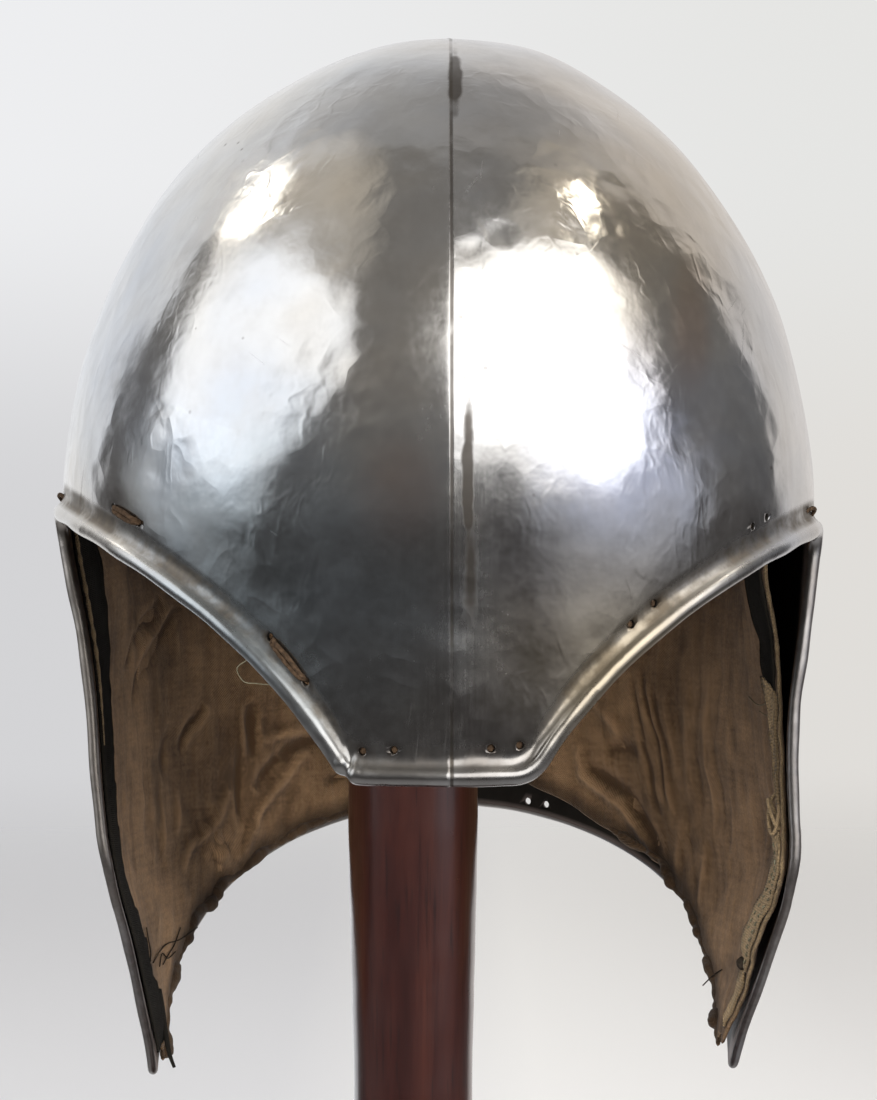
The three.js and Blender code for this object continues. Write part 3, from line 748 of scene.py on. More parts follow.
def roll_radius(cols):
    """Radius of the rolled rim, a little uneven and pinched at the wearer's right nasal corner."""
    right = cols["sign"] < 0
    bead = cols["bead"] * (1 + 0.025 * ripple_along(cols["along"] + 900 * cols["sign"], 22, 3))
    pinch = cols["along"] - cols["along"][on(cols, "nasal_corner") & right].mean()
    dip = -0.22 * np.exp(-(pinch / 1.2) ** 2) + 0.07 * np.exp(-((np.abs(pinch) - 2.8) / 1.3) ** 2)
    return bead * (1 + np.where(right, 1.0, 0.0) * dip)


def make_shell():
    cols = make_columns(SHELL_STEPS)
    n = len(cols["bead"])
    bead = roll_radius(cols)
    centre = bead - PLATE
    # the fillet from the plate into the roll, in the plane across the rim: along the plate, then out of it
    join = math.radians(150)
    tip = np.stack([bead * math.cos(join), centre + bead * math.sin(join)], 1)
    sunk = -0.12 * cols["cove"]
    slope = np.array([math.sin(join), -math.cos(join)])
    knee = np.stack([tip[:, 0] - (tip[:, 1] - sunk) / slope[1] * slope[0], sunk], 1)
    foot = np.stack([knee[:, 0] - 1.1 * bead, sunk], 1)
    cove = bezier([p[:, None, :] for p in (foot, knee, tip)], np.linspace(0, 1, 7)[1:-1][None, :, None])
    fillet = wall(chart_at(cols, -cove[..., 0]), -cove[..., 1])
    # the dented outer face, from the apex down to the fillet
    share = (1 - np.arange(SHELL_WALL_ROWS + 1) / SHELL_WALL_ROWS) ** 1.4
    distance = -foot[:, :1] + (cols["length"][:, None] + foot[:, :1]) * share
    chart = np.concatenate([dome_chart(cols, SHELL_DOME_ROWS), chart_at(cols, distance)], 1)
    away = np.concatenate([np.full((n, SHELL_DOME_ROWS - 1), FAR), distance], 1)
    skin = skull(chart[..., 0], chart[..., 1])
    push = sunk[:, None] * smooth((9.0 - away) / 2.6) - dent_depth(skin) * smooth((away - 6) / 16)
    outer = skin + skull_normal(chart[..., 0], chart[..., 1]) * push[..., None]
    # the roll
    end = chart_at(cols, np.zeros((n, 1)))[:, 0]
    middle, normal = skull(end[:, 0], end[:, 1]), skull_normal(end[:, 0], end[:, 1])
    beyond = skull(end[:, 0] + cols["out"][:, 0] * cols["sign"], end[:, 1] + cols["out"][:, 1])
    outward = beyond - middle
    outward /= np.linalg.norm(outward, axis=1, keepdims=True)
    angle = np.linspace(join, -math.pi / 2, 15)
    roll = middle[:, None] + outward[:, None] * (bead[:, None] * np.cos(angle))[..., None]
    roll = roll + normal[:, None] * (centre[:, None] + bead[:, None] * np.sin(angle))[..., None]
    # the inner face, from behind the roll up to the apex
    lowest = 1.2
    inner_share = (np.arange(SHELL_INNER_ROWS + 1) / SHELL_INNER_ROWS) ** 1.3
    inner_distance = lowest + (cols["length"][:, None] - lowest) * inner_share
    inner_dome = dome_chart(cols, SHELL_INNER_ROWS)[:, ::-1]
    inner_chart = np.concatenate([chart_at(cols, inner_distance), inner_dome], 1)
    inner = wall(inner_chart, np.full(inner_chart.shape[:2], PLATE))
    profiles = np.concatenate([outer, fillet, roll, inner], 1)
    apex = skull(0, APEX_RISE)
    obj = bowl("helmet_shell_steel", apex, profiles, apex - (0, 0, PLATE), [STEEL, INSIDE])
    rows = profiles.shape[1]
    first_inner = outer.shape[1] + fillet.shape[1] + roll.shape[1] - 2
    index = np.zeros(len(obj.data.polygons), int)
    index[: n * (rows - 1)] = np.tile(np.arange(rows - 1), n) >= first_inner
    index[n * (rows - 1) + 1:: 2] = 1
    obj.data.polygons.foreach_set("material_index", index)
    # masks of the finish, from the distance to the rim
    inner_far = np.full((n, inner.shape[1]), FAR)
    near = np.concatenate([away, -cove[..., 0], np.zeros((n, roll.shape[1])), inner_far], 1)
    band = smooth((9.0 - near) / 2.4) * smooth((near - 1.6) / 1.6)
    tarnish = cols["cove"][:, None] * band + 0.35 * band * (cols["cove"][:, None] < 0.3)
    dull = cols["dull"][:, None] * smooth((6.5 - near) / 3)
    inner_near = np.concatenate([inner_distance, inner_far[:, SHELL_INNER_ROWS + 1:]], 1)
    dull_inside = cols["dull"] * ~on(cols, "rear_edge")
    dull[:, -inner.shape[1]:] = dull_inside[:, None] * smooth((48 - inner_near) / 30)
    worn = np.zeros(near.shape)
    worn[:, outer.shape[1] + 2: first_inner + 1] = 1
    ends = np.zeros((1, 3))
    masks = np.concatenate([ends, np.stack([tarnish, dull, worn], -1).reshape(-1, 3), ends])
    # the masks are found again by place once the lacing holes are cut
    before = points_of(obj)
    drill_holes(obj)
    tree = kdtree.KDTree(len(before))
    for i, p in enumerate(before):
        tree.insert(p, i)
    tree.balance()
    after = points_of(obj)
    nearest = np.array([tree.find(p)[1] for p in after])
    for k, name in enumerate(("tarnish", "dull", "worn")):
        attribute(obj, name, masks[nearest, k])
    holes = place(skull(*np.array(HOLES).T)) * 1000
    gap = np.min([np.linalg.norm(after * 1000 - h, axis=1) for h in holes], axis=0)
    attribute(obj, "grime", 0.9 * np.exp(-(gap / 1.9) ** 2))
    return obj


def drill_holes(obj):
    drills = []
    for girth, rise in HOLES:
        p, normal = skull(girth, rise), skull_normal(np.array(girth), np.array(rise))
        path = (p + PLACE)[None] + np.linspace(-5, 5, 2)[:, None] * normal
        drills.append(tube_rings(path, HOLE_RADIUS, 14))
    drill = joined("drill", drills, [INSIDE])
    cut = obj.modifiers.new("holes", "BOOLEAN")
    cut.object, cut.operation, cut.solver = drill, "DIFFERENCE", "EXACT"
    depsgraph = bpy.context.evaluated_depsgraph_get()
    whole = bpy.data.meshes.new_from_object(obj.evaluated_get(depsgraph))
    obj.modifiers.clear()
    obj.data = whole
    bpy.data.objects.remove(drill)


shell = make_shell()
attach(shell, "root")
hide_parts("helmet_shell")

# Lining

LINING_STEPS = [4, 3, 3.2, 2.2, 2.2, 1.8, 1.8, 1.2, 1.35]
LINING_WALL_ROWS, LINING_DOME_ROWS, LINING_BACK_ROWS = 112, 14, 16
SAGS = [
    # girth, rise, reach, right, left
    (204, -20, 20, 6.5, 0.0),
    (200, -10, 32, 0.0, 12.6),
    (184, -106, 18, 0.0, 2.0),
    (205, -70, 26, 2.0, 1.5),
    (206, -136, 28, 0.0, 1.4),
]
# Folds of the cloth on the chart: girth and rise where each starts and ends, height, width; a crease
# has a negative height
FOLDS_RIGHT = [
    (-258, -28, -232, -45, -1.6, 3.0), (-236, -42, -215, -56, -1.4, 3.0), (-247, -26, -222, -38, -1.4, 2.6),
    (-226, -36, -208, -44, -1.1, 2.6), (-254, -28, -222, -45, 1.2, 2.6), (-266, -58, -251, -71, -1.3, 2.4),
    (-269, -58, -255, -70, 0.8, 2.0), (-245, -62, -241, -80, -0.9, 4.5), (-289, -58, -289, -75, -1.4, 2.4),
    (-285, -58, -285, -76, 0.7, 2.0), (-293, -60, -292, -74, 0.6, 2.0), (-314, -68, -290, -71, 1.1, 2.4),
    (-320, -71, -297, -77, -1.8, 3.2), (-301, -75, -289, -85, -1.5, 3.0), (-314, -74, -297, -86, 1.4, 2.2),
    (-301, -82, -284, -98, 1.4, 2.0), (-288, -94, -276, -106, 1.2, 2.0), (-278, -84, -258, -99, 1.4, 2.6),
    (-264, -95, -243, -107, 1.1, 2.6), (-283, -70, -281, -96, -1.2, 2.4), (-271, -101, -264, -105, 2.2, 4.0),
    (-250, -82, -245, -97, 0.7, 2.4), (-238, -76, -233, -104, 0.6, 2.6), (-225, -62, -222, -100, -0.6, 4.0),
    (-322, -80, -348, -74, 1.0, 3.4), (-318, -84, -345, -80, -1.2, 3.0), (-312, -58, -345, -56, 0.8, 5.0),
]
FOLDS_LEFT = [
    (316, -80, 305, -86, 1.5, 2.4), (309, -84, 295, -90, 1.6, 2.4), (299, -87, 286, -101, 1.5, 2.2),
    (289, -97, 278, -109, 1.3, 2.2), (314, -71, 314, -83, 1.1, 2.4), (309, -58, 297, -69, 1.1, 2.6),
    (312, -79, 294, -86, -1.6, 2.8), (304, -74, 289, -74, -1.3, 4.0), (296, -84, 277, -104, -1.4, 2.6),
    (287, -48, 280, -72, -0.8, 1.5), (281, -66, 275, -90, -0.9, 1.5), (284, -52, 277, -75, 0.7, 1.4),
    (279, -70, 272, -92, 0.7, 1.4), (291, -50, 287, -74, -0.7, 1.5), (288, -70, 279, -92, -0.8, 1.6),
    (280, -56, 274, -82, -0.6, 1.4), (276, -52, 271, -80, 0.5, 1.5), (264, -46, 266, -90, 0.45, 2.2),
    (258, -44, 260, -96, -0.45, 2.0), (251, -48, 253, -100, 0.5, 2.2), (270, -92, 264, -112, 0.5, 2.0),
    (257, -98, 247, -120, 0.6, 2.0), (244, -44, 246, -104, -0.4, 2.4), (236, -48, 238, -112, 0.4, 2.4),
    (326, -76, 344, -82, 1.1, 3.4), (322, -68, 345, -70, -0.9, 4.0),
]
# Paler and darker places on the cloth
TONES = [
    # girth, rise, reach, lightness
    (-214, -110, 20, 0.24),
    (-286, -70, 18, -0.20),
]


def straight_grain(chart):
    """Chart points sheared so that the cloth's threads hang straight down inside the tapering side pieces."""
    u, v = chart[..., 0], chart[..., 1]
    shift = 0.75 * np.maximum(0, -97 - v) - 0.1 * np.maximum(0, v + 97)
    return np.stack([u + np.sign(u) * shift * smooth((np.abs(u) - 150) / 60), v], -1)


def fold_depth(chart):
    """Depth of the cloth's waves, threads and folds under its even hang."""
    u, v = chart[..., 0], chart[..., 1]
    bend = 1.2 * ripple(chart, 40, 11)
    total = 0.32 * ripple(chart, 30, 12) + 0.12 * ripple(chart, 11, 13)
    grain = np.stack([straight_grain(chart)[..., 0], v * 0.05], -1)
    total = total + 0.08 * ripple(grain, 7, 14) + 0.018 * ripple(grain, 3.4, 15)
    for a, b, c, d, height, width in FOLDS_RIGHT + FOLDS_LEFT:
        along = np.array([c - a, d - b], float)
        length = np.linalg.norm(along)
        along /= length
        t = np.clip((u - a) * along[0] + (v - b) * along[1], 0, length)
        aside = np.hypot(u - a - t * along[0], v - b - t * along[1])
        side = (u - a) * -along[1] + (v - b) * along[0] + bend * np.sin(math.pi * t / length)
        reach = np.where((t > 0) & (t < length), np.abs(side), aside)
        ends = np.maximum(np.sin(math.pi * t / length), 0) ** 0.7
        crest = (np.sqrt(reach ** 2 + 0.25) - 0.5) / (0.62 * width)
        total = total + 1.3 * height * ends * np.exp(-crest * (0.6 + 0.4 * crest))
    return total


def fold_shading_tone(chart):
    """Painted highlight on the crests of the folds and painted shade in the creases, from the fold depth
    against its surroundings, and lighter and darker in the places listed.
    """
    reach = 1.5
    here = fold_depth(chart)
    around = sum(fold_depth(chart + way) for way in ((reach, 0), (-reach, 0), (0, reach), (0, -reach))) / 4
    tone = np.clip(0.1 * here + 1.2 * (here - around), -0.6, 0.35)
    for girth, rise, size, lightness in TONES:
        away = np.hypot(chart[..., 0] - girth, chart[..., 1] - rise)
        tone = tone + lightness * np.exp(-(away / size) ** 2)
    return tone


def sag_depth(chart):
    total = 0
    for girth, rise, reach, right, left in SAGS:
        away = np.hypot(np.abs(chart[..., 0]) - girth, chart[..., 1] - rise)
        total = total + np.where(chart[..., 0] > 0, left, right) * np.exp(-(away / reach) ** 2)
    return total


def cloth_depth(chart):
    """Depth of the lining's back under the steel's outer face."""
    calm = smooth((60 - chart[..., 1]) / 40)
    slack = 0.6 + 0.9 * smooth((np.abs(chart[..., 0]) - 205) / 25)
    loose = calm * (fold_depth(chart) + slack)
    # a soft limit keeps the cloth off the steel
    held = (loose - 0.4 + np.sqrt((loose + 0.4) ** 2 + 0.09)) / 2
    return PLATE + CLOTH_GAP + held + sag_depth(chart)


def edge_distance(cols):
    """Distance of the lining's edge from the rim: uneven, with bare steel beside the nape on the left."""
    left, girth = cols["sign"] > 0, cols["end"][:, 0]
    edge = cols["inset"] + 0.4 * ripple_along(cols["along"] + 700 * cols["sign"], 26, 21)
    bare = np.exp(-((girth - 352) / 30) ** 2) * 8 * left
    low = smooth((girth - 196) / 12) * smooth((275 - girth) / 25)
    behind = edge + bare + np.where(left, -2.4 * low, 3.2 * low - 2.2)
    edge = np.where(on(cols, "rear_edge"), behind, edge)
    return edge - 3.4 * (left & on(cols, "kink", "lower_edge"))


def make_lining():
    cols = make_columns(LINING_STEPS)
    n = len(cols["bead"])
    edge = edge_distance(cols)
    height = cols["length"][:, None] - edge[:, None]
    dome = dome_chart(cols, LINING_DOME_ROWS)
    distance = edge[:, None] + height * (1 - np.arange(LINING_WALL_ROWS + 1) / LINING_WALL_ROWS)
    chart = np.concatenate([dome, chart_at(cols, distance)], 1)
    back_distance = edge[:, None] + height * (np.arange(LINING_BACK_ROWS + 1) / LINING_BACK_ROWS)
    back_chart = np.concatenate([chart_at(cols, back_distance), dome[:, ::-1]], 1)
    inner = wall(chart, cloth_depth(chart) + CLOTH)
    # the back, towards the steel, runs from its own apex; the hem turns round between the two
    outer = wall(back_chart, cloth_depth(back_chart))
    hem_chart = chart[:, -1:]
    hem = wall(chart_at(cols, edge[:, None] - 0.5), cloth_depth(hem_chart) + CLOTH / 2)
    profiles = np.concatenate([outer[:, ::-1], hem, inner[:, ::-1]], 1)
    apex = np.array([[0, APEX_RISE]])
    tops = [wall(apex, cloth_depth(apex) + more)[0] for more in (0, CLOTH)]
    obj = bowl("lining_cloth", tops[0], profiles, tops[1], [LINEN])
    spots = np.concatenate([back_chart[:, ::-1], hem_chart, chart[:, ::-1]], 1)
    flat = np.concatenate([apex, spots.reshape(-1, 2), apex])
    attribute(obj, "chart", np.column_stack([straight_grain(flat), np.zeros(len(flat))]) / 1000)
    # painted highlight on the fold crests and painted shade in the creases
    attribute(obj, "fold", fold_shading_tone(flat))
    # darker along the edge, most along the rear edge where it is a painted shadow, and painted shade up in
    # the crown
    away = np.concatenate([np.full((n, LINING_DOME_ROWS - 1), FAR), distance], 1)[:, ::-1] - edge[:, None]
    near_edge = smooth((7 - away) / 5) * np.where(on(cols, "rear_edge"), 0.9, 0.5)[:, None]
    dark = np.concatenate([np.zeros((n, outer.shape[1] + 1)), near_edge], 1)
    high = smooth((flat[:, 1] + 15) / 40)
    attribute(obj, "stain", np.maximum(np.concatenate([[0], dark.ravel(), [0]]), 0.8 * high))
    return obj, cols, edge


lining, lining_cols, lining_edge = make_lining()
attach(lining, "root")
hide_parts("lining")


# Tapes and turned edges of the lining

def side_part(sign):
    """The lining's columns on one side, in order along the rim, and its edge there."""
    pick = np.where(lining_cols["sign"] == sign)[0]
    pick = pick[np.argsort(lining_cols["along"][pick])]
    return {k: v[pick] for k, v in lining_cols.items()}, lining_edge[pick]


def over_lining(chart, lift):
    chart = np.asarray(chart, float)
    return wall(chart, cloth_depth(chart) + CLOTH + lift) + PLACE


def rim_chart(sign, along, distance):
    """Chart points at places along the rim of one side and distances from it."""
    part, _ = side_part(sign)
    along, distance = (np.array(v, float) for v in np.broadcast_arrays(along, distance))
    i = np.clip(np.searchsorted(part["along"], along) - 1, 0, len(part["along"]) - 2)
    share = (along - part["along"][i]) / (part["along"][i + 1] - part["along"][i])
    ends = [chart_at({k: v[pick] for k, v in part.items()}, distance[:, None])[:, 0] for pick in (i, i + 1)]
    return ends[0] + (ends[1] - ends[0]) * share[:, None]


def by_rim(sign, along, distance, lift):
    return over_lining(rim_chart(sign, along, distance), lift)


def tape(name, sign, along, start, width, stand, mat, wobble, seed, sewn_to_steel=False):
    """A strip of woven tape over the lining, from start mm off the rim; its far side stands off the cloth."""
    start, width, stand = (np.broadcast_to(v, along.shape) for v in (start, width, stand))
    across = np.linspace(0, 1, 9)
    wide = width + wobble * (ripple_along(along, 9, seed) + 0.4 * ripple_along(along, 2.6, seed + 1))
    rows = []
    for q in across:
        chart = rim_chart(sign, along, start + wide * q)
        depth = cloth_depth(chart) + CLOTH + 0.3 + stand * q ** 1.6
        depth = depth + 0.15 * ripple_along(along + 40 * q, 11, seed + 2)
        if sewn_to_steel:
            over = smooth(wide * q / np.maximum(edge_at[sign](along) - start, 0.5))
            depth = PLATE + 0.5 + (depth - PLATE - 0.5) * over
        rows.append((chart, depth))
    faces = [np.stack([wall(c, d + more) + PLACE for c, d in rows], 1) for more in (0, TAPE_THICK)]
    rings = np.concatenate([faces[0], faces[1][:, ::-1]], 1)
    obj = joined(name, [rings], [mat])
    spread = np.concatenate([across, across[::-1]])
    chart = np.stack(np.broadcast_arrays(wide[:, None] * spread, along[:, None], 0.0), -1).reshape(-1, 3)
    attribute(obj, "chart", chart / 1000)
    attribute(obj, "stain", np.broadcast_to(np.abs(spread * 2 - 1) ** 4 * 0.6, rings.shape[:2]).ravel())
    return obj


def rim_places(sign):
    """Rim distances at the ends of the stretches of one side, and the lining's edge as a function of them."""
    part, edge = side_part(sign)
    ends = {name: part["along"][on(part, name)].max() for name in STRETCHES}
    return ends, lambda s: np.interp(s, part["along"], edge)


places, edge_at = {}, {}
for sign in (-1, 1):
    places[sign], edge_at[sign] = rim_places(sign)
pieces = {}
right, left = places[-1], places[1]
right_legs = [right["temple"], right["temple"] + 45, right["front_edge"], right["lower_edge"]]


def along_right(run, values):
    """Values at the right side's legs, from the temple down to the tip, spread along a run."""
    return np.interp(run, right_legs, values)


def at_points(run, values):
    """Values given at some points of a run by their index, spread along it."""
    return np.interp(run, run[list(values)], list(values.values()))


RIGHT_START = [7, 4, 2.2, 1.6]
run = np.linspace(right["eye"] + 1, right["lower_edge"] - 2, 120)
pieces["border_right_tape"] = tape(
    "border_right_tape", -1, run, along_right(run, RIGHT_START), along_right(run, [19, 11, 8, 5]),
    along_right(run, [1.5, 0.6, 0.2, 0.1]), TAPE, 0.8, 31, sewn_to_steel=True)
LEFT_TAPES = [
    # name, ends along the rim, points, from the lining's edge, widths, stand, material, wobble, seed
    ("border_left_tape", (left["eye"] + 2, left["front_edge"] - 38), 80, 0.6,
     {0: 12, 40: 14, -1: 10}, {0: 2.8}, TAPE, 0.5, 34),
    ("border_left_strip", (left["front_edge"] - 1, left["kink"] + 33), 60, 0.4,
     {0: 10.5, 30: 10, -1: 7}, {0: 2.4}, TAN_TAPE, 0.2, 37),
    ("border_left_end", (left["kink"] + 36, left["lower_edge"] - 5), 40, 0.4,
     {0: 6.5, 20: 5.5, -1: 3.5}, {0: 0.6}, TAN_TAPE, 0.3, 38),
    ("border_left_torn", (left["front_edge"] - 42, left["front_edge"] - 12), 40, -0.8,
     {0: 6.5, 8: 5.5, 18: 2.6, -1: 1.8}, {0: 3.5, 8: 2.2, -1: 0.6}, TAN_TAPE, 0.6, 40),
]
for name, ends, count, offset, widths, stand, mat, wobble, seed in LEFT_TAPES:
    run = np.linspace(*ends, count)
    wide, off = at_points(run, widths), at_points(run, stand)
    pieces[name] = tape(name, 1, run, edge_at[1](run) + offset, wide, off, mat, wobble, seed)
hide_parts("lining_border_right")
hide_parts("lining_border_left")

# Turned edges of the lining: a fine cord along the front, a rolled hem along the back
HEM_RADIUS, HEM_SUNK = 1.3, 0.5
hems = []
for sign, word in ((-1, "right"), (1, "left")):
    ends = places[sign]
    run = np.linspace(ends["eye"] - 10, ends["temple"] + 58 if sign < 0 else ends["lower_edge"] - 3, 150)
    if sign < 0:
        chart = rim_chart(sign, run, along_right(run, RIGHT_START) - 0.4)
        path = wall(chart, np.full(len(run), PLATE + 1.5)) + PLACE
    else:
        path = by_rim(sign, run, edge_at[sign](run) - 0.2, -0.55)
    thin = 0.35 + 0.65 * smooth((run[-1] - run) / 30)
    cord = tube_rings(path, thin * (0.55 + 0.08 * ripple_along(run, 5, 51)), 8)
    hems.append(joined(f"lining_edge_{word}", [cord], [TAN_TAPE]))
    last = ends["rear_edge"] - (4 if sign < 0 else 62)
    run = np.linspace(ends["tip"] + 1, last, 260)
    thick = HEM_RADIUS + 0.28 * ripple_along(run, 19, 53) + 0.12 * ripple_along(run, 6, 54)
    thick = thick * smooth((run - run[0]) / 6 + 0.35) * smooth((last - run) / 10 + 0.3)
    if sign < 0:
        # a lump in the hem, as in the photo
        thick = thick + 1.3 * np.exp(-((run - ends["tip"] - 74) / 4.5) ** 2)
    # where it is thicker it stands further in, clear of the steel
    lift = np.maximum(thick - HEM_RADIUS - HEM_SUNK, -HEM_SUNK)
    path = by_rim(sign, run, edge_at[sign](run) + 0.5 + 0.3 * ripple_along(run, 33, 55), lift)
    hems.append(joined(f"lining_hem_{word}", [tube_rings(path, np.maximum(thick, 0.4), 10)], [LINEN]))
for obj in hems:
    cord_attributes(obj, 0.95 if "hem" in obj.name else 0.6)


# Lacing and loose threads

def lace(a, b, aside):
    """A strand from one lacing hole over the steel into the next."""
    t = np.linspace(0, 1, 26)[:, None]
    chart = np.array(a) + (np.array(b) - np.array(a)) * t
    across = np.array([b[1] - a[1], a[0] - b[0]], float)
    chart = chart + across / np.linalg.norm(across) * aside * np.sin(math.pi * t) ** 0.6
    from_end = np.minimum(t, 1 - t)[:, 0]
    ride = 0.75 * smooth(from_end / 0.16) - 2.6 * (1 - smooth(from_end / 0.12))
    return wall(chart, -ride) + PLACE


WIRE_ENDS = [
    # girth and rise of each wire's points
    [(-164, 6.5), (-167, 7.6), (-170, 7.0), (-172, 5.0)],
    [(150, 3.2), (154, 4.2), (157, 3.6), (159, 1.6)],
]
WIRE_HEIGHTS = np.array([-0.4, 0.9, 1.1, -0.4])
PLUG_DEPTHS, PLUG_RADII = np.array([0.75, 0.9, 1.1, 1.3]), HOLE_RADIUS * np.array([0.6, 0.9, 0.95, 0.95])
laces = [tube_rings(lace(a, b, aside), 0.68, 8) for a, b in LACED_HOLES for aside in (-0.75, 0.75)]
for path in WIRE_ENDS:
    laces.append(tube_rings(spline(wall(np.array(path), -WIRE_HEIGHTS) + PLACE, 16), 0.6, 8))
# old lacing fills the front holes that have no strand over them
for hole in PLUGGED_HOLES:
    spot = np.array([hole] * len(PLUG_DEPTHS), float)
    laces.append(tube_rings(wall(spot, PLUG_DEPTHS) + PLACE, PLUG_RADII, 12))
pieces["lacing_thread"] = joined("lacing_thread", laces, [LACE])

PALE_LOOP = np.array([
    (-57, -30), (-66, -34), (-70, -36.5), (-68, -39.5), (-63, -40), (-57, -40), (-50, -38),
], float)
pale = [
    spline(wall(PALE_LOOP, np.full(len(PALE_LOOP), 3.2)) + PLACE, 40),
    spline(over_lining([(186, -50), (196, -53.5), (206, -54), (214, -52.5)], 0.6), 24),
    spline(over_lining([(180, -54), (190, -56), (200, -55.5)], 0.9), 20),
]
pieces["pale_threads"] = joined("pale_threads", [tube_rings(path, 0.14, 6) for path in pale], [PALE_THREAD])

DARK_THREADS = [
    # points of each thread as girth, rise and lift, then the count of points along it
    ([(-191, -127, 0.3), (-194, -124, 0.8), (-195, -121, 0.6), (-194, -118, 0.9)], 30),
    ([(-196, -128, 0.3), (-205, -126, 0.8), (-216, -125, 0.6), (-226, -125, 1.0), (-237, -123, 2.6)], 30),
    ([(-208, -130, 0.3), (-214, -128, 0.8), (-222, -126, 0.5), (-228, -122, 0.8)], 30),
    ([(-203, -130, 0.3), (-207, -127, 0.7), (-214, -129, 0.5), (-221, -128, 0.8)], 30),
    ([(214, -133, 0.3), (219, -135, 0.7), (224, -139, 1.0)], 16),
]
dark = []
for line, count in DARK_THREADS:
    line = np.array(line, float)
    dark.append(tube_rings(spline(over_lining(line[:, :2], line[:, 2]), count), 0.2, 6))
pieces["dark_threads"] = joined("dark_threads", dark, [DARK_THREAD])

# Stitches over the tan strip, two twisted loops at its upper end and a knot at its lower one
STITCHES, STITCH_PITCH = 14, 2.9
sewn = []
for k in range(STITCHES):
    at = left["front_edge"] + 3 + k * STITCH_PITCH
    t = np.linspace(0, 1, 8)
    for shift in (1.2, 7.6):
        off_edge = edge_at[1](at) + shift - 1.2 * k / STITCHES * shift / 7 + 0.5 * t
        stitch = by_rim(1, at + 1.7 * t, off_edge, 1.35 + 0.15 * shift + 0.25 * np.sin(math.pi * t))
        sewn.append(tube_rings(stitch, 0.24, 6))
pieces["strip_stitches"] = joined("strip_stitches", sewn, [PALE_THREAD])
top = left["front_edge"] - 6
loops = []
for turn, size in ((0.0, 4.4), (2.2, 3.4)):
    angle = np.linspace(0, 2 * math.pi, 40)
    off_edge = edge_at[1](top) + 4 + size * np.sin(angle + turn)
    loop = by_rim(1, top + size * np.cos(angle + turn), off_edge, 2.2 + 1.6 * np.sin(angle + 1))
    loops.append(tube_rings(loop, 0.55, 8))
pieces["twisted_loops"] = joined("twisted_loops", loops, [TAN_TAPE])
at = left["kink"] + 34.5
knot = by_rim(1, at + np.linspace(-2.2, 2.2, 9), edge_at[1](at) + 4.5, 1.8)
swell = 0.3 + 1.6 * np.sin(np.linspace(0.15, math.pi - 0.15, 9))
pieces["strip_knot"] = joined("strip_knot", [tube_rings(knot, swell, 10)], [DARK_THREAD])
# the dark tape's frayed tail at the right tip: along the rim, off the lining's edge, lift
TAIL = np.array([(-14.0, 2.5, 0.9), (-9, 1, 1.0), (-4, -1.5, 1.2), (0, -6, 2.2), (2, -9, 3.2)])
at = right["lower_edge"]
tail = spline(by_rim(-1, at + TAIL[:, 0], edge_at[-1](at) + TAIL[:, 1], TAIL[:, 2]), 30)
pieces["border_right_tail"] = joined(
    "border_right_tail", [tube_rings(tail, np.linspace(1.3, 0.5, 30), 8)], [TAPE])
for name in ("twisted_loops", "border_right_tail"):
    cord_attributes(pieces[name], 0.3)
for obj in [*pieces.values(), *hems]:
    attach(obj, "root")


# Stand

POST_FOOT_RADIUS, POST_MID_RADIUS, POST_TOP_RADIUS = 16.8, 18.3, 19.0
POST_STRAIGHT, POST_MID = 94, 161.7
BASE_RADIUS, BASE_HEIGHT, BASE_ROUND = 88, 22, 5


def turned_piece(name, outline, sides, mats):
    """A turned piece from (radius, height) pairs in mm, closed on its axis."""
    outline = np.asarray(outline, float)
    turn = np.arange(sides) / sides * 2 * math.pi
    ring = np.stack([np.cos(turn), np.sin(turn)], 1)
    rows = [np.column_stack([r * ring, np.full(sides, z)]) for r, z in outline[1:-1]]
    verts = np.concatenate([[[0, 0, outline[0][1]]], *rows, [[0, 0, outline[-1][1]]]]) / 1000
    count = len(rows)
    faces = []
    for k in range(sides):
        k2 = (k + 1) % sides
        faces.append((0, 1 + k2, 1 + k))
        for i in range(count - 1):
            a, b = 1 + i * sides, 1 + (i + 1) * sides
            faces.append((a + k, a + k2, b + k2, b + k))
        last = 1 + (count - 1) * sides
        faces.append((len(verts) - 1, last + k, last + k2))
    return new_object(name, verts, faces, mats)


def make_post():
    """The post tapers to its foot, is slightly uneven along its length and has a round top."""
    low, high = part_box("stand_post")
    bottom, top = low.z * 1000, high.z * 1000
    shoulder = top - POST_TOP_RADIUS
    levels, radii = [POST_STRAIGHT, POST_MID, shoulder], [POST_FOOT_RADIUS, POST_MID_RADIUS, POST_TOP_RADIUS]
    points = [(0, bottom), (POST_FOOT_RADIUS - 0.4, bottom), (POST_FOOT_RADIUS, bottom + 0.6)]
    points.append((POST_FOOT_RADIUS, POST_STRAIGHT))
    for k in range(1, 40):
        z = POST_STRAIGHT + (shoulder - POST_STRAIGHT) * k / 40
        uneven = 0.06 * math.sin(z * 0.35) + 0.04 * math.sin(z * 0.9 + 1)
        points.append((np.interp(z, levels, radii) + uneven, z))
    for k in range(13):
        angle = k / 13 * math.pi / 2
        points.append((POST_TOP_RADIUS * math.cos(angle), shoulder + POST_TOP_RADIUS * math.sin(angle)))
    points.append((0, top))
    return turned_piece("post_wood", points, 96, [WOOD])


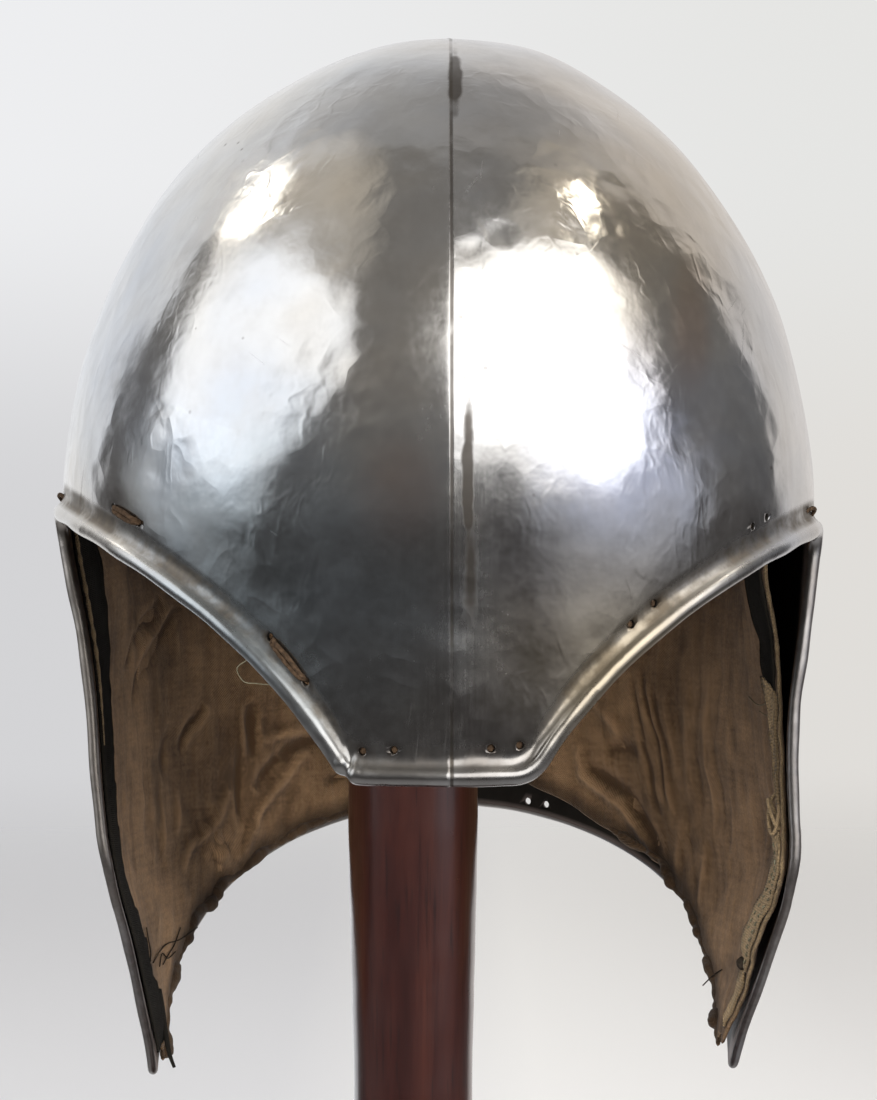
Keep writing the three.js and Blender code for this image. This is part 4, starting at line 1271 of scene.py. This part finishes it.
def make_base():
    """A disc with a rounded upper edge."""
    start = BASE_HEIGHT - BASE_ROUND
    points = [(0, 0), (BASE_RADIUS - 1.2, 0), (BASE_RADIUS, 1.2), (BASE_RADIUS, start - 1)]
    for k in range(1, 9):
        angle = k / 8 * math.pi / 2
        height = start - 0.2 + BASE_ROUND * math.sin(angle) + 0.2 * k / 8
        points.append((BASE_RADIUS - BASE_ROUND * (1 - math.cos(angle)), height))
    points += [(60, BASE_HEIGHT), (30, BASE_HEIGHT), (0, BASE_HEIGHT)]
    return turned_piece("base_wood", points, 128, [WOOD])


for obj, node in ((make_post(), "stand_post"), (make_base(), "stand_base")):
    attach(obj, "root")
    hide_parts(node)


# Light, floor and camera

PANELS = [
    # name, azimuth, elevation, distance, width, height, strength, colour, softness, corner
    ("panel_left", -77, 27, 1.6, 1.85, 1.7, 1.55, (0.97, 0.985, 1), 0.8, 2.4),
    ("panel_right", 40, 34, 1.6, 2.7, 1.6, 2.5, (1, 0.985, 0.96), 0.7, 3.6),
    ("panel_left_low", -86, 2, 1.6, 1.9, 0.9, 0.5, (0.9, 0.96, 1), 1.0, 2.0),
    ("panel_right_low", 64, 2, 1.6, 2.2, 1.0, 0.66, (0.88, 0.91, 1), 1.0, 2.0),
    ("panel_left_high", -114, 44, 1.8, 0.44, 0.36, 5.0, (1, 0.95, 0.86), 0.8, 2.0),
    ("panel_left_glow", -94, 58, 1.9, 1.7, 1.0, 0.42, (1, 0.9, 0.74), 1.0, 2.0),
    ("panel_right_high", 98, 52, 1.8, 0.42, 0.34, 6.0, (1, 0.93, 0.80), 0.8, 2.0),
    ("panel_right_glow", 78, 62, 1.9, 1.7, 0.8, 0.36, (1, 0.9, 0.74), 1.0, 2.0),
]
FILLS = [
    # name, location, size, energy
    ("fill_front", (0.0, -1.6, 0.06), 0.9, 9.0),
    ("fill_right", (1.0, -1.1, 0.5), 0.6, 14.0),
    ("fill_left", (-1.0, -1.1, 0.5), 0.6, 14.0),
]
PANELS_FACE, FILLS_FACE = Vector((0.007, -0.03, 0.29)), Vector((0.007, 0, 0.22))


def softbox(name, azimuth, elevation, distance, width, height, strength, colour, soft, corner):
    """A soft-edged panel that faces the helmet; azimuth is to the right of the camera's side. The higher
    corner is, the squarer the panel."""
    a, e = math.radians(azimuth), math.radians(elevation)
    way = Vector((math.sin(a) * math.cos(e), -math.cos(a) * math.cos(e), math.sin(e)))
    mesh = bpy.data.meshes.new(name)
    mesh.from_pydata([(-1, -1, 0), (1, -1, 0), (1, 1, 0), (-1, 1, 0)], [], [(0, 1, 2, 3)])
    obj = bpy.data.objects.new(name, mesh)
    bpy.context.scene.collection.objects.link(obj)
    centre = PANELS_FACE + way * distance
    turn = way.to_track_quat("Z", "Y").to_matrix().to_4x4()
    obj.matrix_world = Matrix.Translation(centre) @ turn @ Matrix.Diagonal((width / 2, height / 2, 1, 1))
    mat, n = material(name)
    x, y, _ = n.xyz(n.here())
    powers = [n.math("POWER", n.math("ABSOLUTE", s), corner) for s in (x, y)]
    power = n.range(n.math("ADD", *powers), 1 - soft, 1.0, strength, 0.0)
    glow = n.add("AddShader")
    n.set(glow.inputs[0], n.add("Emission", Color=colour, Strength=power).outputs[0])
    n.set(glow.inputs[1], n.add("BsdfTransparent").outputs[0])
    n.finish(glow)
    mesh.materials.append(mat)
    obj.visible_camera = False
    obj.visible_shadow = False


def fill_light(name, location, size, energy):
    """A broad fill from the camera's side that lights the cloth and isn't mirrored in the steel."""
    light = bpy.data.lights.new(name, "AREA")
    light.size, light.energy = size, energy
    obj = bpy.data.objects.new(name, light)
    obj.location = location
    obj.rotation_euler = (FILLS_FACE - obj.location).to_track_quat("-Z", "Y").to_euler()
    obj.visible_glossy = False
    obj.visible_camera = False
    bpy.context.scene.collection.objects.link(obj)


def make_floor():
    """A pale disc that fades out into the backdrop and glows as painted light."""
    radii, sides = [0.3, 0.6, 1.0, 1.5, 2.2, 3.0], 64
    turns = np.arange(sides) / sides * 2 * math.pi
    verts, faces = [(0, 0, 0)], []
    for r in radii:
        verts += [(r * math.cos(turn), r * math.sin(turn), 0) for turn in turns]
    for k in range(sides):
        faces.append((0, 1 + k, 1 + (k + 1) % sides))
        for i in range(len(radii) - 1):
            a, b = 1 + i * sides, 1 + (i + 1) * sides
            faces.append((a + k, b + k, b + (k + 1) % sides, a + (k + 1) % sides))
    mat, n = material("pale_floor")
    x, y, _ = n.xyz(n.here())
    radius = n.math("SQRT", n.math("ADD", n.times(x, x), n.times(y, y)))
    # painted light: the floor's glow is weakest on the left and strongest just right of the middle
    floor_glow_colours = [(0.4, (0.182, 0.184, 0.195)), (0.58, (0.335, 0.325, 0.305)), (0.83, (0.24, 0.23, 0.215))]
    tint = n.ramp(n.range(x, -0.3, 0.3, kind="LINEAR"), floor_glow_colours)
    matte = n.add("BsdfPrincipled", Base_Color=(0.56, 0.56, 0.57), Roughness=0.9, Emission_Color=tint,
                  Emission_Strength=1.0)
    shade = n.add("MixShader", Fac=n.range(radius, 0.9, 2.3))
    n.set(shade.inputs[1], matte.outputs[0])
    n.set(shade.inputs[2], n.add("BsdfTransparent").outputs[0])
    n.finish(shade)
    floor = new_object("floor", verts, faces, [mat])
    floor.visible_glossy = False


def make_world():
    """The camera sees a pale backdrop; the steel mirrors a dim room with a pale wall behind the helmet."""
    world = bpy.data.worlds.new("studio")
    bpy.context.scene.world = world
    world.use_nodes = True
    n = Nodes(world.node_tree)
    x, y, z = n.xyz(n.add("TexCoord").outputs["Generated"])
    side = n.math("ARCTAN2", n.math("ABSOLUTE", x), y)
    edge = n.plus(side, z, -0.35)
    behind = n.times(n.range(edge, 0.80, 0.86, 1.0, 0.0), n.range(z, 0.5, 0.95, 1.0, 0.25))
    level = n.range(z, -1.0, 1.0, 0.0, 1.0, "LINEAR")
    room = n.ramp(level, [
        (0.0, (0.42, 0.42, 0.42)), (0.2, (0.30, 0.29, 0.29)), (0.36, (0.07, 0.066, 0.063)),
        (0.47, (0.085, 0.08, 0.078)), (0.57, (0.17, 0.168, 0.17)), (0.85, (0.25, 0.235, 0.215)),
        (1.0, (0.26, 0.245, 0.225)),
    ])
    seen = n.mix(behind, room, n.mix(n.range(x, -0.3, 0.3), (0.98, 1.0, 1.03), (0.80, 0.765, 0.74)))
    left = n.mix(n.range(z, -0.03, 0.05), (0.655, 0.655, 0.67), (0.85, 0.855, 0.87))
    right = n.mix(n.range(z, -0.03, 0.05), (0.745, 0.725, 0.695), (0.785, 0.785, 0.77))
    backdrop = n.mix(n.range(x, -0.1, 0.1), left, right)
    camera_ray = n.add("LightPath").outputs["Is Camera Ray"]
    n.finish(n.add("Background", Color=n.mix(camera_ray, seen, backdrop)), "OutputWorld")


for row in PANELS:
    softbox(*row)
for row in FILLS:
    fill_light(*row)
make_floor()
make_world()
camera_data = bpy.data.cameras.new("camera")
camera_data.lens, camera_data.sensor_width, camera_data.sensor_fit = 150.3, 36.0, "AUTO"
camera = bpy.data.objects.new("camera", camera_data)
camera.location = (0.0072, -1.2992, 0.2891)
camera.rotation_euler = (math.radians(88), 0, 0)
bpy.context.scene.collection.objects.link(camera)
bpy.context.scene.camera = camera
bpy.context.scene.view_settings.view_transform = "Standard"
